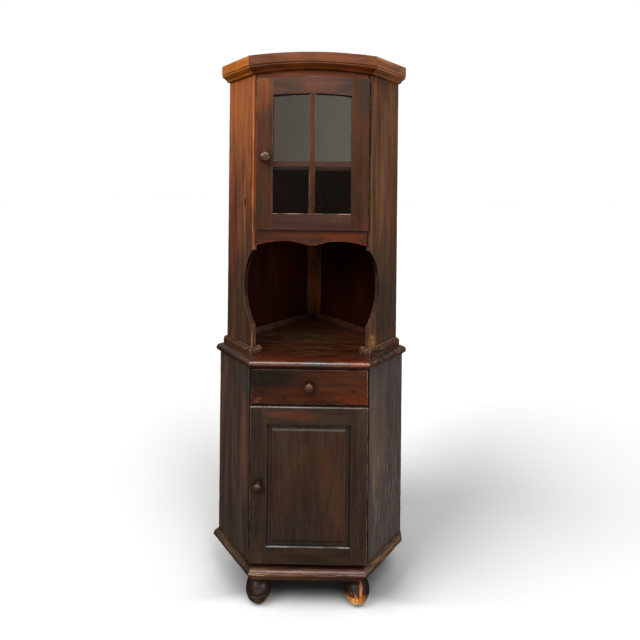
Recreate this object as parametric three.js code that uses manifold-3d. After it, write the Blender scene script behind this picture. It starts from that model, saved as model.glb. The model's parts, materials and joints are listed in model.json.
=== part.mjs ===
// Corner cupboard in stained pine: a lower cupboard with one drawer and one panelled door on
// turned bun feet, an open niche with scooped side boards, and a glazed cabinet under an arched cornice.
// Millimetres, +Z up, front towards -Y, the two wall faces meet in the rear corner on the plane X = 0.
// The origin is the middle of the bounding box's base, on the floor.
import * as THREE from "three";
import { mergeVertices } from "three/addons/utils/BufferGeometryUtils.js";
import Module from "manifold-3d";

const wasm = await Module();
wasm.setup();

// ---------------------------------------------------------------- driving dimensions
const R2 = Math.SQRT2;
const WALL = 486.6; // |X| + Y on the wall planes
const BOARD = 18; // carcass boards
const BACK = 9; // back boards
const LOW = 209.2; // |X| - Y on the outer face of the lower side boards
const UPX = 211; // outer front corner of the upper side boards
const UPY = 42;
const UP = UPX - UPY; // |X| - Y on the outer face of the upper side boards
const SLACK = 0.4; // joint line between boards that meet at 45 degrees

const PLINTH_Z = [123, 153];
const COUNTER_Z = [831, 859];
const UPPER_TOP = 1884;
const DIVIDER_Z = [690, 708];
const LOWER_SHELF_Z = [420, 438];
const APRON_Z = 1304;
const CABINET_FLOOR_Z = [1284, 1300];
const GLAZED_SHELF_Z = [1522, 1538];
const TOP_BOARD_Z = [1866, 1884];

const SCOOP = { s: -141, z: 1095, r: 197 }; // circle that hollows the niche's front edges

const LOWER_DOOR = { x0: -202.5, x1: 203.5, y0: -23, y1: -1, z0: 165, z1: 704.5 };
const UPPER_DOOR = { x0: -200, x1: 202.5, y0: 30, y1: 49.5, z0: 1305.5, z1: 1844, rise: 10 };
const DRAWER = { x: 202, y0: -12, y1: 6, z0: 708, z1: 828 };
const LOWER_AXIS = [207.3, -3.2];
const UPPER_AXIS = [206.5, 41];

const FLOOR = 10; // all heights here are measured from 10 mm under the floor
const FOOT_X = 173;
const FOOT_Y = 19;
const FOOT_REAR_Y = 392;
const BALL_R = 44.5; // the feet are flattened balls with a turned line at their widest girth
const BALL_Z = 50;
const LINE_Z = 51.6;

const CORNICE_Z = [1862, 1920];
const CORNICE_RISE = [18, 15]; // of the arched front at its bottom and at its top
const WAIST_OUT = 15.5;
const WAIST_Z = [859, 884];

const SHIFT = [1.415, -216.3, -FLOOR]; // puts the origin under the middle of the bounding box, on the floor

// ---------------------------------------------------------------- materials
const WOOD = {
  side: 0x5a3a2a,
  sideWarm: 0x8a5230,
  front: 0x4d3529,
  drawer: 0x5c3322,
  rail: 0x6b3f22,
  counter: 0x4f2d20,
  inner: 0x2e1c14,
  cornice: 0x7d4b35,
  foot: 0x3e2417,
  raw: 0x8b6a48,
};
function wood(color, roughness = 0.5) {
  return new THREE.MeshStandardMaterial({ color, roughness, metalness: 0 });
}
const metal = () => new THREE.MeshStandardMaterial({ color: 0x6b5a3a, roughness: 0.45, metalness: 1 });

// ---------------------------------------------------------------- geometry helpers
// A closed surface with shared vertices, its faces turned outwards.
function closed(geometry) {
  const bare = new THREE.BufferGeometry();
  bare.setAttribute("position", geometry.getAttribute("position").clone());
  if (geometry.index) bare.setIndex(geometry.index.clone());
  const merged = mergeVertices(bare, 1e-3);
  const p = merged.attributes.position;
  const index = Array.from(merged.index.array);
  const keep = [];
  for (let i = 0; i < index.length; i += 3) {
    const [a, b, c] = index.slice(i, i + 3);
    if (a !== b && b !== c && a !== c) keep.push(a, b, c);
  }
  const v = [0, 1, 2].map(() => new THREE.Vector3());
  let volume = 0;
  for (let i = 0; i < keep.length; i += 3) {
    v.forEach((q, k) => q.fromBufferAttribute(p, keep[i + k]));
    volume += v[0].dot(v[1].cross(v[2])) / 6;
  }
  if (volume < 0)
    for (let i = 0; i < keep.length; i += 3) [keep[i + 1], keep[i + 2]] = [keep[i + 2], keep[i + 1]];
  merged.setIndex(keep);
  return merged;
}
function solid(geometry) {
  const g = closed(geometry);
  return new wasm.Manifold(
    new wasm.Mesh({
      numProp: 3,
      vertProperties: new Float32Array(g.attributes.position.array),
      triVerts: new Uint32Array(g.index.array),
    }),
  );
}
function shapeOf(manifold) {
  const m = manifold.getMesh();
  const g = new THREE.BufferGeometry();
  g.setAttribute("position", new THREE.BufferAttribute(new Float32Array(m.vertProperties), 3));
  g.setIndex(Array.from(m.triVerts));
  return g;
}
function cut(base, ...tools) {
  let m = solid(base);
  for (const t of tools) m = m.subtract(solid(t));
  return shapeOf(m);
}
function join(base, ...others) {
  let m = solid(base);
  for (const t of others) m = m.add(solid(t));
  return shapeOf(m);
}
function mirror(geometry) {
  return closed(geometry.clone().scale(-1, 1, 1));
}
function box(x0, x1, y0, y1, z0, z1) {
  return new THREE.BoxGeometry(x1 - x0, y1 - y0, z1 - z0).translate(
    (x0 + x1) / 2,
    (y0 + y1) / 2,
    (z0 + z1) / 2,
  );
}
function outline(points) {
  return new THREE.Shape(points.map(([x, y]) => new THREE.Vector2(x, y)));
}
// A plan outline in X, Y raised from z0 to z1.
function prism(points, z0, z1) {
  return new THREE.ExtrudeGeometry(outline(points), { depth: z1 - z0, bevelEnabled: false }).translate(0, 0, z0);
}
// A front outline in X, Z running back from y0 to y1.
function plate(points, y0, y1) {
  return new THREE.ExtrudeGeometry(outline(points), { depth: y1 - y0, bevelEnabled: false })
    .rotateX(Math.PI / 2)
    .translate(0, y1, 0);
}
// A board of the right-hand side, drawn as (distance from its front edge, height), with its outer
// face on |X| - Y = x - y and its front outer corner at (x, y).
function sideBoard(points, x, y, thickness) {
  const along = new THREE.Vector3(1, 1, 0).normalize();
  const up = new THREE.Vector3(0, 0, 1);
  const out = new THREE.Vector3(1, -1, 0).normalize();
  const place = new THREE.Matrix4().makeBasis(along, up, out);
  place.setPosition(x - out.x * thickness, y - out.y * thickness, 0);
  return new THREE.ExtrudeGeometry(outline(points), { depth: thickness, bevelEnabled: false }).applyMatrix4(place);
}
// A profile of (offset, height) points carried through stations, each a function that places a profile point.
function sweep(profile, stations) {
  const n = profile.length;
  const positions = [];
  for (const place of stations) for (const [o, z] of profile) positions.push(...place(o, z));
  const index = [];
  for (let s = 0; s + 1 < stations.length; s++)
    for (let i = 0; i < n; i++) {
      const a = s * n + i,
        b = s * n + ((i + 1) % n);
      index.push(a, b, b + n, a, b + n, a + n);
    }
  const flat = profile.map(([o, z]) => new THREE.Vector2(o, z));
  const last = (stations.length - 1) * n;
  const clockwise = THREE.ShapeUtils.isClockWise(flat);
  for (const [a, b, c] of THREE.ShapeUtils.triangulateShape(flat, [])) {
    const [p, q, r] = [a, b, c];
    const turned = (flat[q].x - flat[p].x) * (flat[r].y - flat[p].y) - (flat[r].x - flat[p].x) * (flat[q].y - flat[p].y) < 0;
    const [u, v, w] = turned === clockwise ? [p, q, r] : [p, r, q];
    index.push(w, v, u, last + u, last + v, last + w);
  }
  const g = new THREE.BufferGeometry();
  g.setAttribute("position", new THREE.Float32BufferAttribute(positions, 3));
  g.setIndex(index);
  return closed(g);
}
// Stacked plan outlines with the same number of corners, closed by flat ends.
function stack(loops) {
  const n = loops[0].length;
  const positions = loops.flat(2);
  const index = [];
  for (let s = 0; s + 1 < loops.length; s++)
    for (let i = 0; i < n; i++) {
      const a = s * n + i,
        b = s * n + ((i + 1) % n);
      index.push(a, b, b + n, a, b + n, a + n);
    }
  const top = (loops.length - 1) * n;
  for (let i = 1; i + 1 < n; i++) {
    index.push(0, i + 1, i);
    index.push(top, top + i, top + i + 1);
  }
  const g = new THREE.BufferGeometry();
  g.setAttribute("position", new THREE.Float32BufferAttribute(positions, 3));
  g.setIndex(index);
  return closed(g);
}
// A turned piece standing on z = 0, from (radius, height) points.
function turned(points, segments) {
  return new THREE.LatheGeometry(
    points.map(([r, z]) => new THREE.Vector2(r, z)),
    segments,
  ).rotateX(Math.PI / 2);
}
function arcPoints(cx, cz, r, from, to, steps) {
  return Array.from({ length: steps + 1 }, (_, i) => {
    const a = from + ((to - from) * i) / steps;
    return [cx + r * Math.cos(a), cz + r * Math.sin(a)];
  });
}

const cupboard = new THREE.Group();
const carcass = new THREE.Group();
const drawer = new THREE.Group();
const lowerDoor = new THREE.Group();
const upperDoor = new THREE.Group();
cupboard.add(carcass, drawer, lowerDoor, upperDoor);
function add(group, name, geometry, material) {
  const g = closed(geometry).toNonIndexed();
  g.computeVertexNormals();
  const mesh = new THREE.Mesh(g, material);
  mesh.name = name;
  group.add(mesh);
  return mesh;
}

// ---------------------------------------------------------------- plan outlines
// The whole five-sided plan, with the front line moved out by front and the returns by side.
function plan(front, side, z, trimmed) {
  const c = LOW + side * R2;
  const rear = [(WALL + c) / 2, (WALL - c) / 2];
  const left = [
    [0, WALL, z],
    [-rear[0], rear[1], z],
    [-(c - front), -front, z],
  ];
  const right = trimmed
    ? [
        [c - front, -front, z],
        [trimmed, trimmed - c, z],
        [trimmed, WALL - trimmed, z],
      ]
    : [
        [c - front, -front, z],
        [rear[0], rear[1], z],
      ];
  return [...left, ...right];
}
// A board between the side boards' inner faces and the back boards, notched at the corner post.
const BACK_IN = WALL - BACK * R2; // |X| + Y on the inner face of the back boards
const POST_Y = 440.5;
function between(outerLine, frontY, z0, z1) {
  const c = outerLine - BOARD * R2 - SLACK * R2;
  const s = BACK_IN - SLACK * R2;
  const half = [
    [c + frontY, frontY],
    [(s + c) / 2, (s - c) / 2],
    [s - (POST_Y - SLACK), POST_Y - SLACK],
  ];
  return prism([...half, ...half.map(([x, y]) => [-x, y]).reverse()], z0, z1);
}
// The right-hand back board, from the side board's inner face to the rear corner's mitre.
function backBoard(outerLine, z0, z1) {
  const c = outerLine - BOARD * R2 - SLACK * R2;
  return prism(
    [
      [(WALL + c) / 2, (WALL - c) / 2],
      [0.15, WALL - 0.15],
      [0.15, BACK_IN - 0.15],
      [(BACK_IN + c) / 2, (BACK_IN - c) / 2],
    ],
    z0,
    z1,
  );
}
function cornerPost(z0, z1) {
  const s = BACK_IN - SLACK * R2;
  return prism(
    [
      [-(s - POST_Y), POST_Y],
      [s - POST_Y, POST_Y],
      [0, s],
    ],
    z0,
    z1,
  );
}

// ---------------------------------------------------------------- feet
const ballFlat = Math.asin((BALL_Z - FLOOR) / BALL_R);
const footProfile = [
  [0, FLOOR],
  ...arcPoints(0, BALL_Z, BALL_R, -ballFlat, 0, 5),
  [BALL_R - 2.2, LINE_Z],
  ...arcPoints(0, BALL_Z, BALL_R, 0.075, 1.18, 6),
  [19, 94],
  [17, 99],
  [17, 112],
  [28, 118],
  [28, PLINTH_Z[0]],
  [0, PLINTH_Z[0]],
];
const foot = turned(footProfile, 24);
add(carcass, "foot_front_left", foot.clone().translate(-FOOT_X, FOOT_Y, 0), wood(WOOD.foot, 0.4));
add(carcass, "foot_front_right", foot.clone().translate(FOOT_X, FOOT_Y, 0), wood(WOOD.foot, 0.4));
add(carcass, "foot_rear", foot.clone().translate(0, FOOT_REAR_Y, 0), wood(WOOD.foot, 0.4));

// ---------------------------------------------------------------- plinth and counter
// A board with a rounded nose; under is how far the hollow below the nose goes in at the front, at the returns and near the nose.
function nosedBoard([z0, z1], front, side, nose, under, trimmed) {
  const mid = z1 - nose;
  const levels = [
    [under[0], under[1], z0],
    [under[2], under[2], mid - 6],
    [1, 1, mid - 2.5],
    ...[0, 0.25, 0.5, 0.75, 1].map((t) => {
      const a = (t * Math.PI) / 2;
      const inset = nose * (1 - Math.cos(a));
      return [inset, inset, mid + nose * Math.sin(a)];
    }),
  ];
  return stack(levels.map(([f, s, z]) => plan(front - f, side - s, z, trimmed)));
}
add(carcass, "plinth_board", nosedBoard(PLINTH_Z, 40, 22, 13, [6, 18, 3.5], 348), wood(WOOD.counter, 0.45));
add(carcass, "counter_top", nosedBoard(COUNTER_Z, 26, 18, 12, [14, 14, 3]), wood(WOOD.counter, 0.4));

// ---------------------------------------------------------------- lower carcass
const LOW_LENGTH = (WALL - LOW) / R2;
const lowerSide = sideBoard(
  [
    [0, PLINTH_Z[1]],
    [LOW_LENGTH, PLINTH_Z[1]],
    [LOW_LENGTH, COUNTER_Z[0]],
    [0, COUNTER_Z[0]],
  ],
  LOW,
  0,
  BOARD,
);
const LOWER_HINGES = [215, 590];
const UPPER_HINGES = [1372, 1735];
const HINGE_H = 50;
// A hinge's recess and leaf in the square front end of a side board, (x, y) being the end's outer corner.
function endBlock(x, y, t0, t1, n0, n1, z0, z1) {
  const e = [-1 / R2, 1 / R2]; // across the end, inwards
  const m = [-1 / R2, -1 / R2]; // out of the end
  const at = (t, n) => [x + e[0] * t + m[0] * n, y + e[1] * t + m[1] * n];
  return prism([at(t0, n0), at(t1, n0), at(t1, n1), at(t0, n1)], z0, z1);
}
add(carcass, "lower_side_left", mirror(lowerSide), wood(WOOD.side));
add(
  carcass,
  "lower_side_right",
  cut(lowerSide, ...LOWER_HINGES.map((z) => endBlock(LOW, 0, 1.2, 16.2, -1.5, 2, z - 0.3, z + HINGE_H + 0.3))),
  wood(WOOD.side),
);
const lowerBack = backBoard(LOW, PLINTH_Z[1], COUNTER_Z[0]);
add(carcass, "lower_back_left", mirror(lowerBack), wood(WOOD.raw, 0.8));
add(carcass, "lower_back_right", lowerBack, wood(WOOD.raw, 0.8));
add(carcass, "lower_corner_post", cornerPost(PLINTH_Z[1], COUNTER_Z[0]), wood(WOOD.inner, 0.6));
add(carcass, "lower_shelf", between(LOW, 34, ...LOWER_SHELF_Z), wood(WOOD.inner, 0.6));
add(carcass, "drawer_divider", between(LOW, 7.2, ...DIVIDER_Z), wood(WOOD.inner, 0.6));
const guide = box(176, 190, 18, 278, DIVIDER_Z[1], DIVIDER_Z[1] + 20);
add(carcass, "drawer_guide_left", mirror(guide), wood(WOOD.raw, 0.7));
add(carcass, "drawer_guide_right", guide, wood(WOOD.raw, 0.7));

// ---------------------------------------------------------------- upper carcass
const UP_LENGTH = (WALL - UPX - UPY) / R2;
const scoopHalf = Math.acos(-SCOOP.s / SCOOP.r);
const upperSide = sideBoard(
  [
    [0, COUNTER_Z[1]],
    [UP_LENGTH, COUNTER_Z[1]],
    [UP_LENGTH, UPPER_TOP],
    [0, UPPER_TOP],
    ...arcPoints(SCOOP.s, SCOOP.z, SCOOP.r, scoopHalf, -scoopHalf, 24),
  ],
  UPX,
  UPY,
  BOARD,
);
add(carcass, "upper_side_left", mirror(upperSide), wood(WOOD.sideWarm));
add(
  carcass,
  "upper_side_right",
  cut(upperSide, ...UPPER_HINGES.map((z) => endBlock(UPX, UPY, 1.2, 16.2, -1.5, 2, z - 0.3, z + HINGE_H + 0.3))),
  wood(WOOD.side),
);
const upperBack = backBoard(UP, COUNTER_Z[1], UPPER_TOP);
add(carcass, "upper_back_left", mirror(upperBack), wood(WOOD.raw, 0.8));
add(carcass, "upper_back_right", upperBack, wood(WOOD.raw, 0.8));
const BATTEN_TOP = 887;
const battenC = UP - BOARD * R2 - SLACK * R2;
const battenS = BACK_IN - SLACK * R2;
const batten = prism(
  [
    [(battenS + battenC) / 2, (battenS - battenC) / 2],
    [0.15, battenS - 0.15],
    [0.15, battenS - 10 * R2 - 0.15],
    [(battenS - 10 * R2 + battenC) / 2, (battenS - 10 * R2 - battenC) / 2],
  ],
  COUNTER_Z[1],
  BATTEN_TOP,
);
add(carcass, "niche_batten_left", mirror(batten), wood(WOOD.inner, 0.6));
add(carcass, "niche_batten_right", batten, wood(WOOD.inner, 0.6));
add(carcass, "upper_corner_post", cornerPost(BATTEN_TOP, UPPER_TOP), wood(WOOD.inner, 0.6));
add(carcass, "cabinet_floor", between(UP, 60.4, ...CABINET_FLOOR_Z), wood(WOOD.inner, 0.6));
add(carcass, "glazed_shelf", between(UP, 70, ...GLAZED_SHELF_Z), wood(WOOD.inner, 0.6));
add(carcass, "top_board", between(UP, 60.4, ...TOP_BOARD_Z), wood(WOOD.inner, 0.6));

// Apron: its lower edge has a dip in the middle and at each end and a hump between them.
const apronHalf = new THREE.SplineCurve(
  [
    [0, 1250],
    [16, 1251.4],
    [36, 1256.4],
    [60, 1262.4],
    [84, 1265.2],
    [106, 1265.4],
    [130, 1263.6],
    [156, 1259.6],
    [180, 1254],
    [194.8, 1250],
  ].map(([x, z]) => new THREE.Vector2(x, z)),
)
  .getPoints(28)
  .map((p) => [p.x, p.y]);
apronHalf[0] = [0, 1250];
function railEnds(z0, z1) {
  // The rail's plan: square in front, then following the side boards' front ends and inner faces.
  const half = [
    [199.5, UPY],
    [199.5, 52.9],
    [197.7, 54.7],
    [202.9, 60.2],
  ];
  return prism([...half, ...half.map(([x, y]) => [-x, y]).reverse()], z0, z1);
}
const apronOutline = [
  ...apronHalf
    .slice(1)
    .map(([x, z]) => [-x, z])
    .reverse(),
  ...apronHalf,
  [206, 1250],
  [206, APRON_Z],
  [-206, APRON_Z],
  [-206, 1250],
];
add(
  carcass,
  "apron_rail",
  shapeOf(solid(plate(apronOutline, UPY - 1, 61)).intersect(solid(railEnds(1240, APRON_Z)))),
  wood(WOOD.rail),
);

// Arched rail over the glazed door.
const doorTop = (x) => UPPER_DOOR.z1 + UPPER_DOOR.rise * (1 - (x / 201) ** 2);
const archSteps = Array.from({ length: 25 }, (_, i) => -206 + (412 * i) / 24);
const archOutline = [...archSteps.map((x) => [x, doorTop(x) + 2]), [206, UPPER_TOP], [-206, UPPER_TOP]];
add(
  carcass,
  "arch_rail",
  shapeOf(solid(plate(archOutline, UPY - 1, 61)).intersect(solid(railEnds(1830, UPPER_TOP)))),
  wood(WOOD.rail),
);

// ---------------------------------------------------------------- mouldings
const waistProfile = [
  [0.25, WAIST_Z[0]],
  [WAIST_OUT - 1, WAIST_Z[0]],
  [WAIST_OUT, WAIST_Z[0] + 1.2],
  ...arcPoints(WAIST_OUT - 9, WAIST_Z[1] - 10, 9, 0, Math.PI / 2 - 0.15, 5).map(([o, z]) => [o, z]),
  [5, WAIST_Z[1] - 0.6],
  [4.4, WAIST_Z[1]],
  [0.25, WAIST_Z[1]],
];
const d = 1 / R2;
const waist = sweep(waistProfile, [
  (o, z) => [UPX + d * o + d * UP_LENGTH, UPY - d * o + d * UP_LENGTH, z],
  (o, z) => [UPX + d * o - d * o, UPY - d * o - d * o, z],
  (o, z) => [UPX - d * 32.5 - d * o, UPY + d * 32.5 - d * o, z],
]);
add(carcass, "waist_moulding_left", mirror(waist), wood(WOOD.cornice));
add(carcass, "waist_moulding_right", waist, wood(WOOD.cornice));

// Cornice section, offset from the carcass face and height: fascia, quirk, bead, quirk, cove and a small lower bead.
const corniceProfile = [
  [0.25, 1920],
  [31.8, 1920],
  [33.5, 1918.2],
  [33.5, 1886.2],
  [32.6, 1884.8],
  [30.4, 1884.6],
  [30, 1882.6],
  [31.6, 1881.6],
  [32, 1879.2],
  [31, 1877],
  [28.6, 1875.8],
  [26.6, 1875.6],
  [26.2, 1873.6],
  [23.6, 1873],
  [19.6, 1872],
  [16.4, 1869.9],
  [14.6, 1867.4],
  [13, 1867],
  [12.2, 1864.8],
  [10.4, 1862.6],
  [7.6, 1862],
  [0.25, 1862],
];
const T22 = Math.tan(Math.PI / 8);
const corniceSteps = 20;
const riseAt = (z) =>
  CORNICE_RISE[0] + ((CORNICE_RISE[1] - CORNICE_RISE[0]) * (z - CORNICE_Z[0])) / (CORNICE_Z[1] - CORNICE_Z[0]);
add(
  carcass,
  "cornice_front",
  sweep(
    corniceProfile,
    Array.from({ length: corniceSteps + 1 }, (_, i) => {
      const s = -1 + (2 * i) / corniceSteps;
      return (o, z) => [s * (UPX + o * T22 - 0.12), UPY - o, z + riseAt(z) * (1 - s * s)];
    }),
  ),
  wood(WOOD.cornice),
);
const corniceSide = sweep(corniceProfile, [
  (o, z) => [UPX + o * T22 + 0.2, UPY - o + 0.2, z],
  (o, z) => [(WALL + UP + o * R2) / 2, (WALL - UP - o * R2) / 2, z],
]);
add(carcass, "cornice_left", mirror(corniceSide), wood(0xb06a30));
add(carcass, "cornice_right", corniceSide, wood(WOOD.cornice));

// ---------------------------------------------------------------- knobs
const knobProfile = [
  [0, 0],
  [8.6, 0],
  [7.8, 3],
  [7, 8],
  [7.8, 12.4],
  [13.4, 15.6],
  [17, 20.6],
  [15.8, 25.6],
  [10, 29.6],
  [0, 31],
];
const knobAt = (x, y, z, radius) =>
  new THREE.LatheGeometry(
    knobProfile.map(([r, h]) => new THREE.Vector2((r * radius) / 17, h)),
    18,
  )
    .rotateX(Math.PI)
    .translate(x, y, z);

// ---------------------------------------------------------------- drawer
add(
  drawer,
  "drawer_front",
  box(-DRAWER.x, DRAWER.x, DRAWER.y0, DRAWER.y1, DRAWER.z0, DRAWER.z1),
  wood(WOOD.drawer, 0.4),
);
const BOX_X = 175;
const BOX_Z = [DIVIDER_Z[1] + 0.5, 808];
const DRAWER_BACK_Y = [258, 270];
const drawerSide = box(BOX_X - 12, BOX_X, DRAWER.y1, 276, ...BOX_Z);
add(drawer, "drawer_side_left", mirror(drawerSide), wood(WOOD.raw, 0.7));
add(drawer, "drawer_side_right", drawerSide, wood(WOOD.raw, 0.7));
add(
  drawer,
  "drawer_bottom",
  box(-(BOX_X - 12), BOX_X - 12, DRAWER.y1, 276, BOX_Z[0] + 4, BOX_Z[0] + 10),
  wood(WOOD.raw, 0.7),
);
add(
  drawer,
  "drawer_back",
  box(-(BOX_X - 12), BOX_X - 12, ...DRAWER_BACK_Y, BOX_Z[0] + 10, BOX_Z[1] - 6),
  wood(WOOD.raw, 0.7),
);
add(drawer, "drawer_knob", knobAt(0, DRAWER.y0, 776, 15.5), wood(WOOD.foot, 0.35));

// ---------------------------------------------------------------- lower door: frame and raised panel
const LD = LOWER_DOOR;
const PANEL_OPEN = { x0: -143, x1: 143, z0: 226, z1: 642 };
const GROOVE = { y0: -15.2, y1: -8.8, deep: 9 };
const grooveCutter = box(
  PANEL_OPEN.x0 - GROOVE.deep,
  PANEL_OPEN.x1 + GROOVE.deep,
  GROOVE.y0,
  GROOVE.y1,
  PANEL_OPEN.z0 - GROOVE.deep,
  PANEL_OPEN.z1 + GROOVE.deep,
);
const lowerMortises = LOWER_HINGES.map((z) =>
  box(LD.x1 - 1.5, LD.x1 + 2, LD.y0 + 4, LD.y1 - 1, z - 0.3, z + HINGE_H + 0.3),
);
add(
  lowerDoor,
  "lower_door_stile_left",
  cut(box(LD.x0, PANEL_OPEN.x0, LD.y0, LD.y1, LD.z0, LD.z1), grooveCutter),
  wood(WOOD.front),
);
add(
  lowerDoor,
  "lower_door_stile_right",
  cut(box(PANEL_OPEN.x1, LD.x1, LD.y0, LD.y1, LD.z0, LD.z1), grooveCutter, ...lowerMortises),
  wood(WOOD.front),
);
add(
  lowerDoor,
  "lower_door_rail_top",
  cut(box(PANEL_OPEN.x0, PANEL_OPEN.x1, LD.y0, LD.y1, PANEL_OPEN.z1, LD.z1), grooveCutter),
  wood(WOOD.front),
);
add(
  lowerDoor,
  "lower_door_rail_bottom",
  cut(box(PANEL_OPEN.x0, PANEL_OPEN.x1, LD.y0, LD.y1, LD.z0, PANEL_OPEN.z0), grooveCutter),
  wood(WOOD.front),
);
const rect = (inset, y) => [
  [PANEL_OPEN.x0 + inset, y, PANEL_OPEN.z0 + inset],
  [PANEL_OPEN.x1 - inset, y, PANEL_OPEN.z0 + inset],
  [PANEL_OPEN.x1 - inset, y, PANEL_OPEN.z1 - inset],
  [PANEL_OPEN.x0 + inset, y, PANEL_OPEN.z1 - inset],
];
add(
  lowerDoor,
  "lower_door_panel",
  stack([rect(-8, -9), rect(-8, -14.8), rect(0.6, -14.8), rect(13.5, -15.6), rect(16, -17), rect(19, -19.6), rect(21.5, -20.4)]),
  wood(WOOD.front),
);
add(lowerDoor, "lower_door_knob", knobAt(-173, LD.y0, 441, 15.5), wood(WOOD.foot, 0.35));

// ---------------------------------------------------------------- upper door: arched glazed frame
const UD = UPPER_DOOR;
const GLASS_OPEN = { x: 140, z0: 1365, z1: 1785, rise: 9 };
const REBATE = 9;
const GLASS_FRONT = 42.4;
const openTop = (x) => GLASS_OPEN.z1 + GLASS_OPEN.rise * (1 - (x / GLASS_OPEN.x) ** 2);
const spread = (x0, x1, n) => Array.from({ length: n + 1 }, (_, i) => x0 + ((x1 - x0) * i) / n);
const rebateCutter = box(
  -GLASS_OPEN.x - REBATE,
  GLASS_OPEN.x + REBATE,
  GLASS_FRONT,
  UD.y1 + 5,
  GLASS_OPEN.z0 - REBATE,
  GLASS_OPEN.z1 + GLASS_OPEN.rise + REBATE,
);
const upperMortises = UPPER_HINGES.map((z) =>
  box(UD.x1 - 1.5, UD.x1 + 2, UD.y0 + 3, UD.y1 - 1.6, z - 0.3, z + HINGE_H + 0.3),
);
function stile(x0, x1) {
  return plate([[x0, UD.z0], [x1, UD.z0], ...spread(x1, x0, 4).map((x) => [x, doorTop(x)])], UD.y0, UD.y1);
}
add(
  upperDoor,
  "upper_door_stile_left",
  cut(stile(UD.x0, -GLASS_OPEN.x), rebateCutter),
  wood(WOOD.front),
);
add(
  upperDoor,
  "upper_door_stile_right",
  cut(stile(GLASS_OPEN.x, UD.x1), rebateCutter, ...upperMortises),
  wood(WOOD.front),
);
add(
  upperDoor,
  "upper_door_rail_top",
  cut(
    plate(
      [
        ...spread(-GLASS_OPEN.x, GLASS_OPEN.x, 20).map((x) => [x, openTop(x)]),
        ...spread(GLASS_OPEN.x, -GLASS_OPEN.x, 20).map((x) => [x, doorTop(x)]),
      ],
      UD.y0,
      UD.y1,
    ),
    rebateCutter,
  ),
  wood(WOOD.front),
);
add(
  upperDoor,
  "upper_door_rail_bottom",
  cut(box(-GLASS_OPEN.x, GLASS_OPEN.x, UD.y0, UD.y1, UD.z0, GLASS_OPEN.z0), rebateCutter),
  wood(WOOD.front),
);
// Glazing bars, halved over each other where they cross, in front of one sheet of glass.
const BAR = { half: 10, z0: 1533, z1: 1553, y0: UD.y0 + 1, lap: 36.5, y1: 42 };
add(
  upperDoor,
  "glazing_bar_vertical",
  cut(
    box(-BAR.half, BAR.half, BAR.y0, BAR.y1, GLASS_OPEN.z0, openTop(BAR.half) - 0.1),
    box(-BAR.half - 1, BAR.half + 1, BAR.lap - 0.05, BAR.y1 + 1, BAR.z0 - 0.05, BAR.z1 + 0.05),
  ),
  wood(WOOD.front),
);
add(
  upperDoor,
  "glazing_bar_horizontal",
  cut(
    box(-GLASS_OPEN.x, GLASS_OPEN.x, BAR.y0, BAR.y1, BAR.z0, BAR.z1),
    box(-BAR.half - 0.05, BAR.half + 0.05, BAR.y0 - 1, BAR.lap + 0.05, BAR.z0 - 1, BAR.z1 + 1),
  ),
  wood(WOOD.front),
);
add(
  upperDoor,
  "glass_pane",
  box(
    -GLASS_OPEN.x - 8,
    GLASS_OPEN.x + 8,
    GLASS_FRONT,
    GLASS_FRONT + 3,
    GLASS_OPEN.z0 - 8,
    GLASS_OPEN.z1 + GLASS_OPEN.rise + 8,
  ),
  new THREE.MeshStandardMaterial({ color: 0xaab0aa, roughness: 0.05, metalness: 0, transparent: true, opacity: 0.35 }),
);
add(upperDoor, "upper_door_knob", knobAt(-165, UD.y0, 1564, 19.2), wood(WOOD.foot, 0.35));

// ---------------------------------------------------------------- butt hinges, three knuckles each
const KNUCKLE_R = 2.2;
const PIN_R = 1.1;
function rod(x, y, r, z0, z1, segments = 16) {
  return new THREE.CylinderGeometry(r, r, z1 - z0, segments)
    .rotateX(Math.PI / 2)
    .translate(x, y, (z0 + z1) / 2);
}
function fixedLeaf([ax, ay], cornerX, cornerY, z) {
  const t = (cornerX - ax + (ay - cornerY)) / R2; // the axis across the board's end
  const n = (cornerX - ax + (cornerY - ay)) / R2; // and in front of it
  const at = (u, v) => [cornerX - (u + v) / R2, cornerY + (u - v) / R2];
  const parts = [endBlock(cornerX, cornerY, 1.5, 15.9, -1.2, -0.02, z, z + HINGE_H)];
  for (const [z0, z1] of [
    [z, z + 16.5],
    [z + 33.5, z + HINGE_H],
  ]) {
    parts.push(rod(ax, ay, KNUCKLE_R, z0, z1));
    const a = Math.max(t - 0.9, 1.6);
    const web = [at(a, -0.6), at(a + 1.8, -0.6), at(a + 1.8, 0.1), at(t + 0.9, n), at(t - 0.9, n), at(a, 0.1)];
    parts.push(prism(web, z0, z1));
  }
  parts.push(rod(ax, ay, PIN_R, z, z + HINGE_H, 12));
  return join(...parts);
}
function doorLeaf([ax, ay], edgeX, y0, y1, z) {
  const knuckle = cut(
    join(
      box(edgeX - 1.2, edgeX - 0.02, y0, y1, z, z + HINGE_H),
      box(edgeX - 0.6, ax - 1, ay - 0.8, ay + 0.8, z + 17, z + 33),
      rod(ax, ay, KNUCKLE_R, z + 17, z + 33),
    ),
    rod(ax, ay, PIN_R + 0.3, z + 16, z + 34, 16),
  );
  return knuckle;
}
LOWER_HINGES.forEach((z, i) => {
  const which = ["bottom", "top"][i];
  add(carcass, `lower_hinge_${which}_fixed_leaf`, fixedLeaf(LOWER_AXIS, LOW, 0, z), metal());
  add(lowerDoor, `lower_hinge_${which}_door_leaf`, doorLeaf(LOWER_AXIS, LD.x1, LD.y0 + 4.3, LD.y1 - 1.3, z), metal());
});
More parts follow.
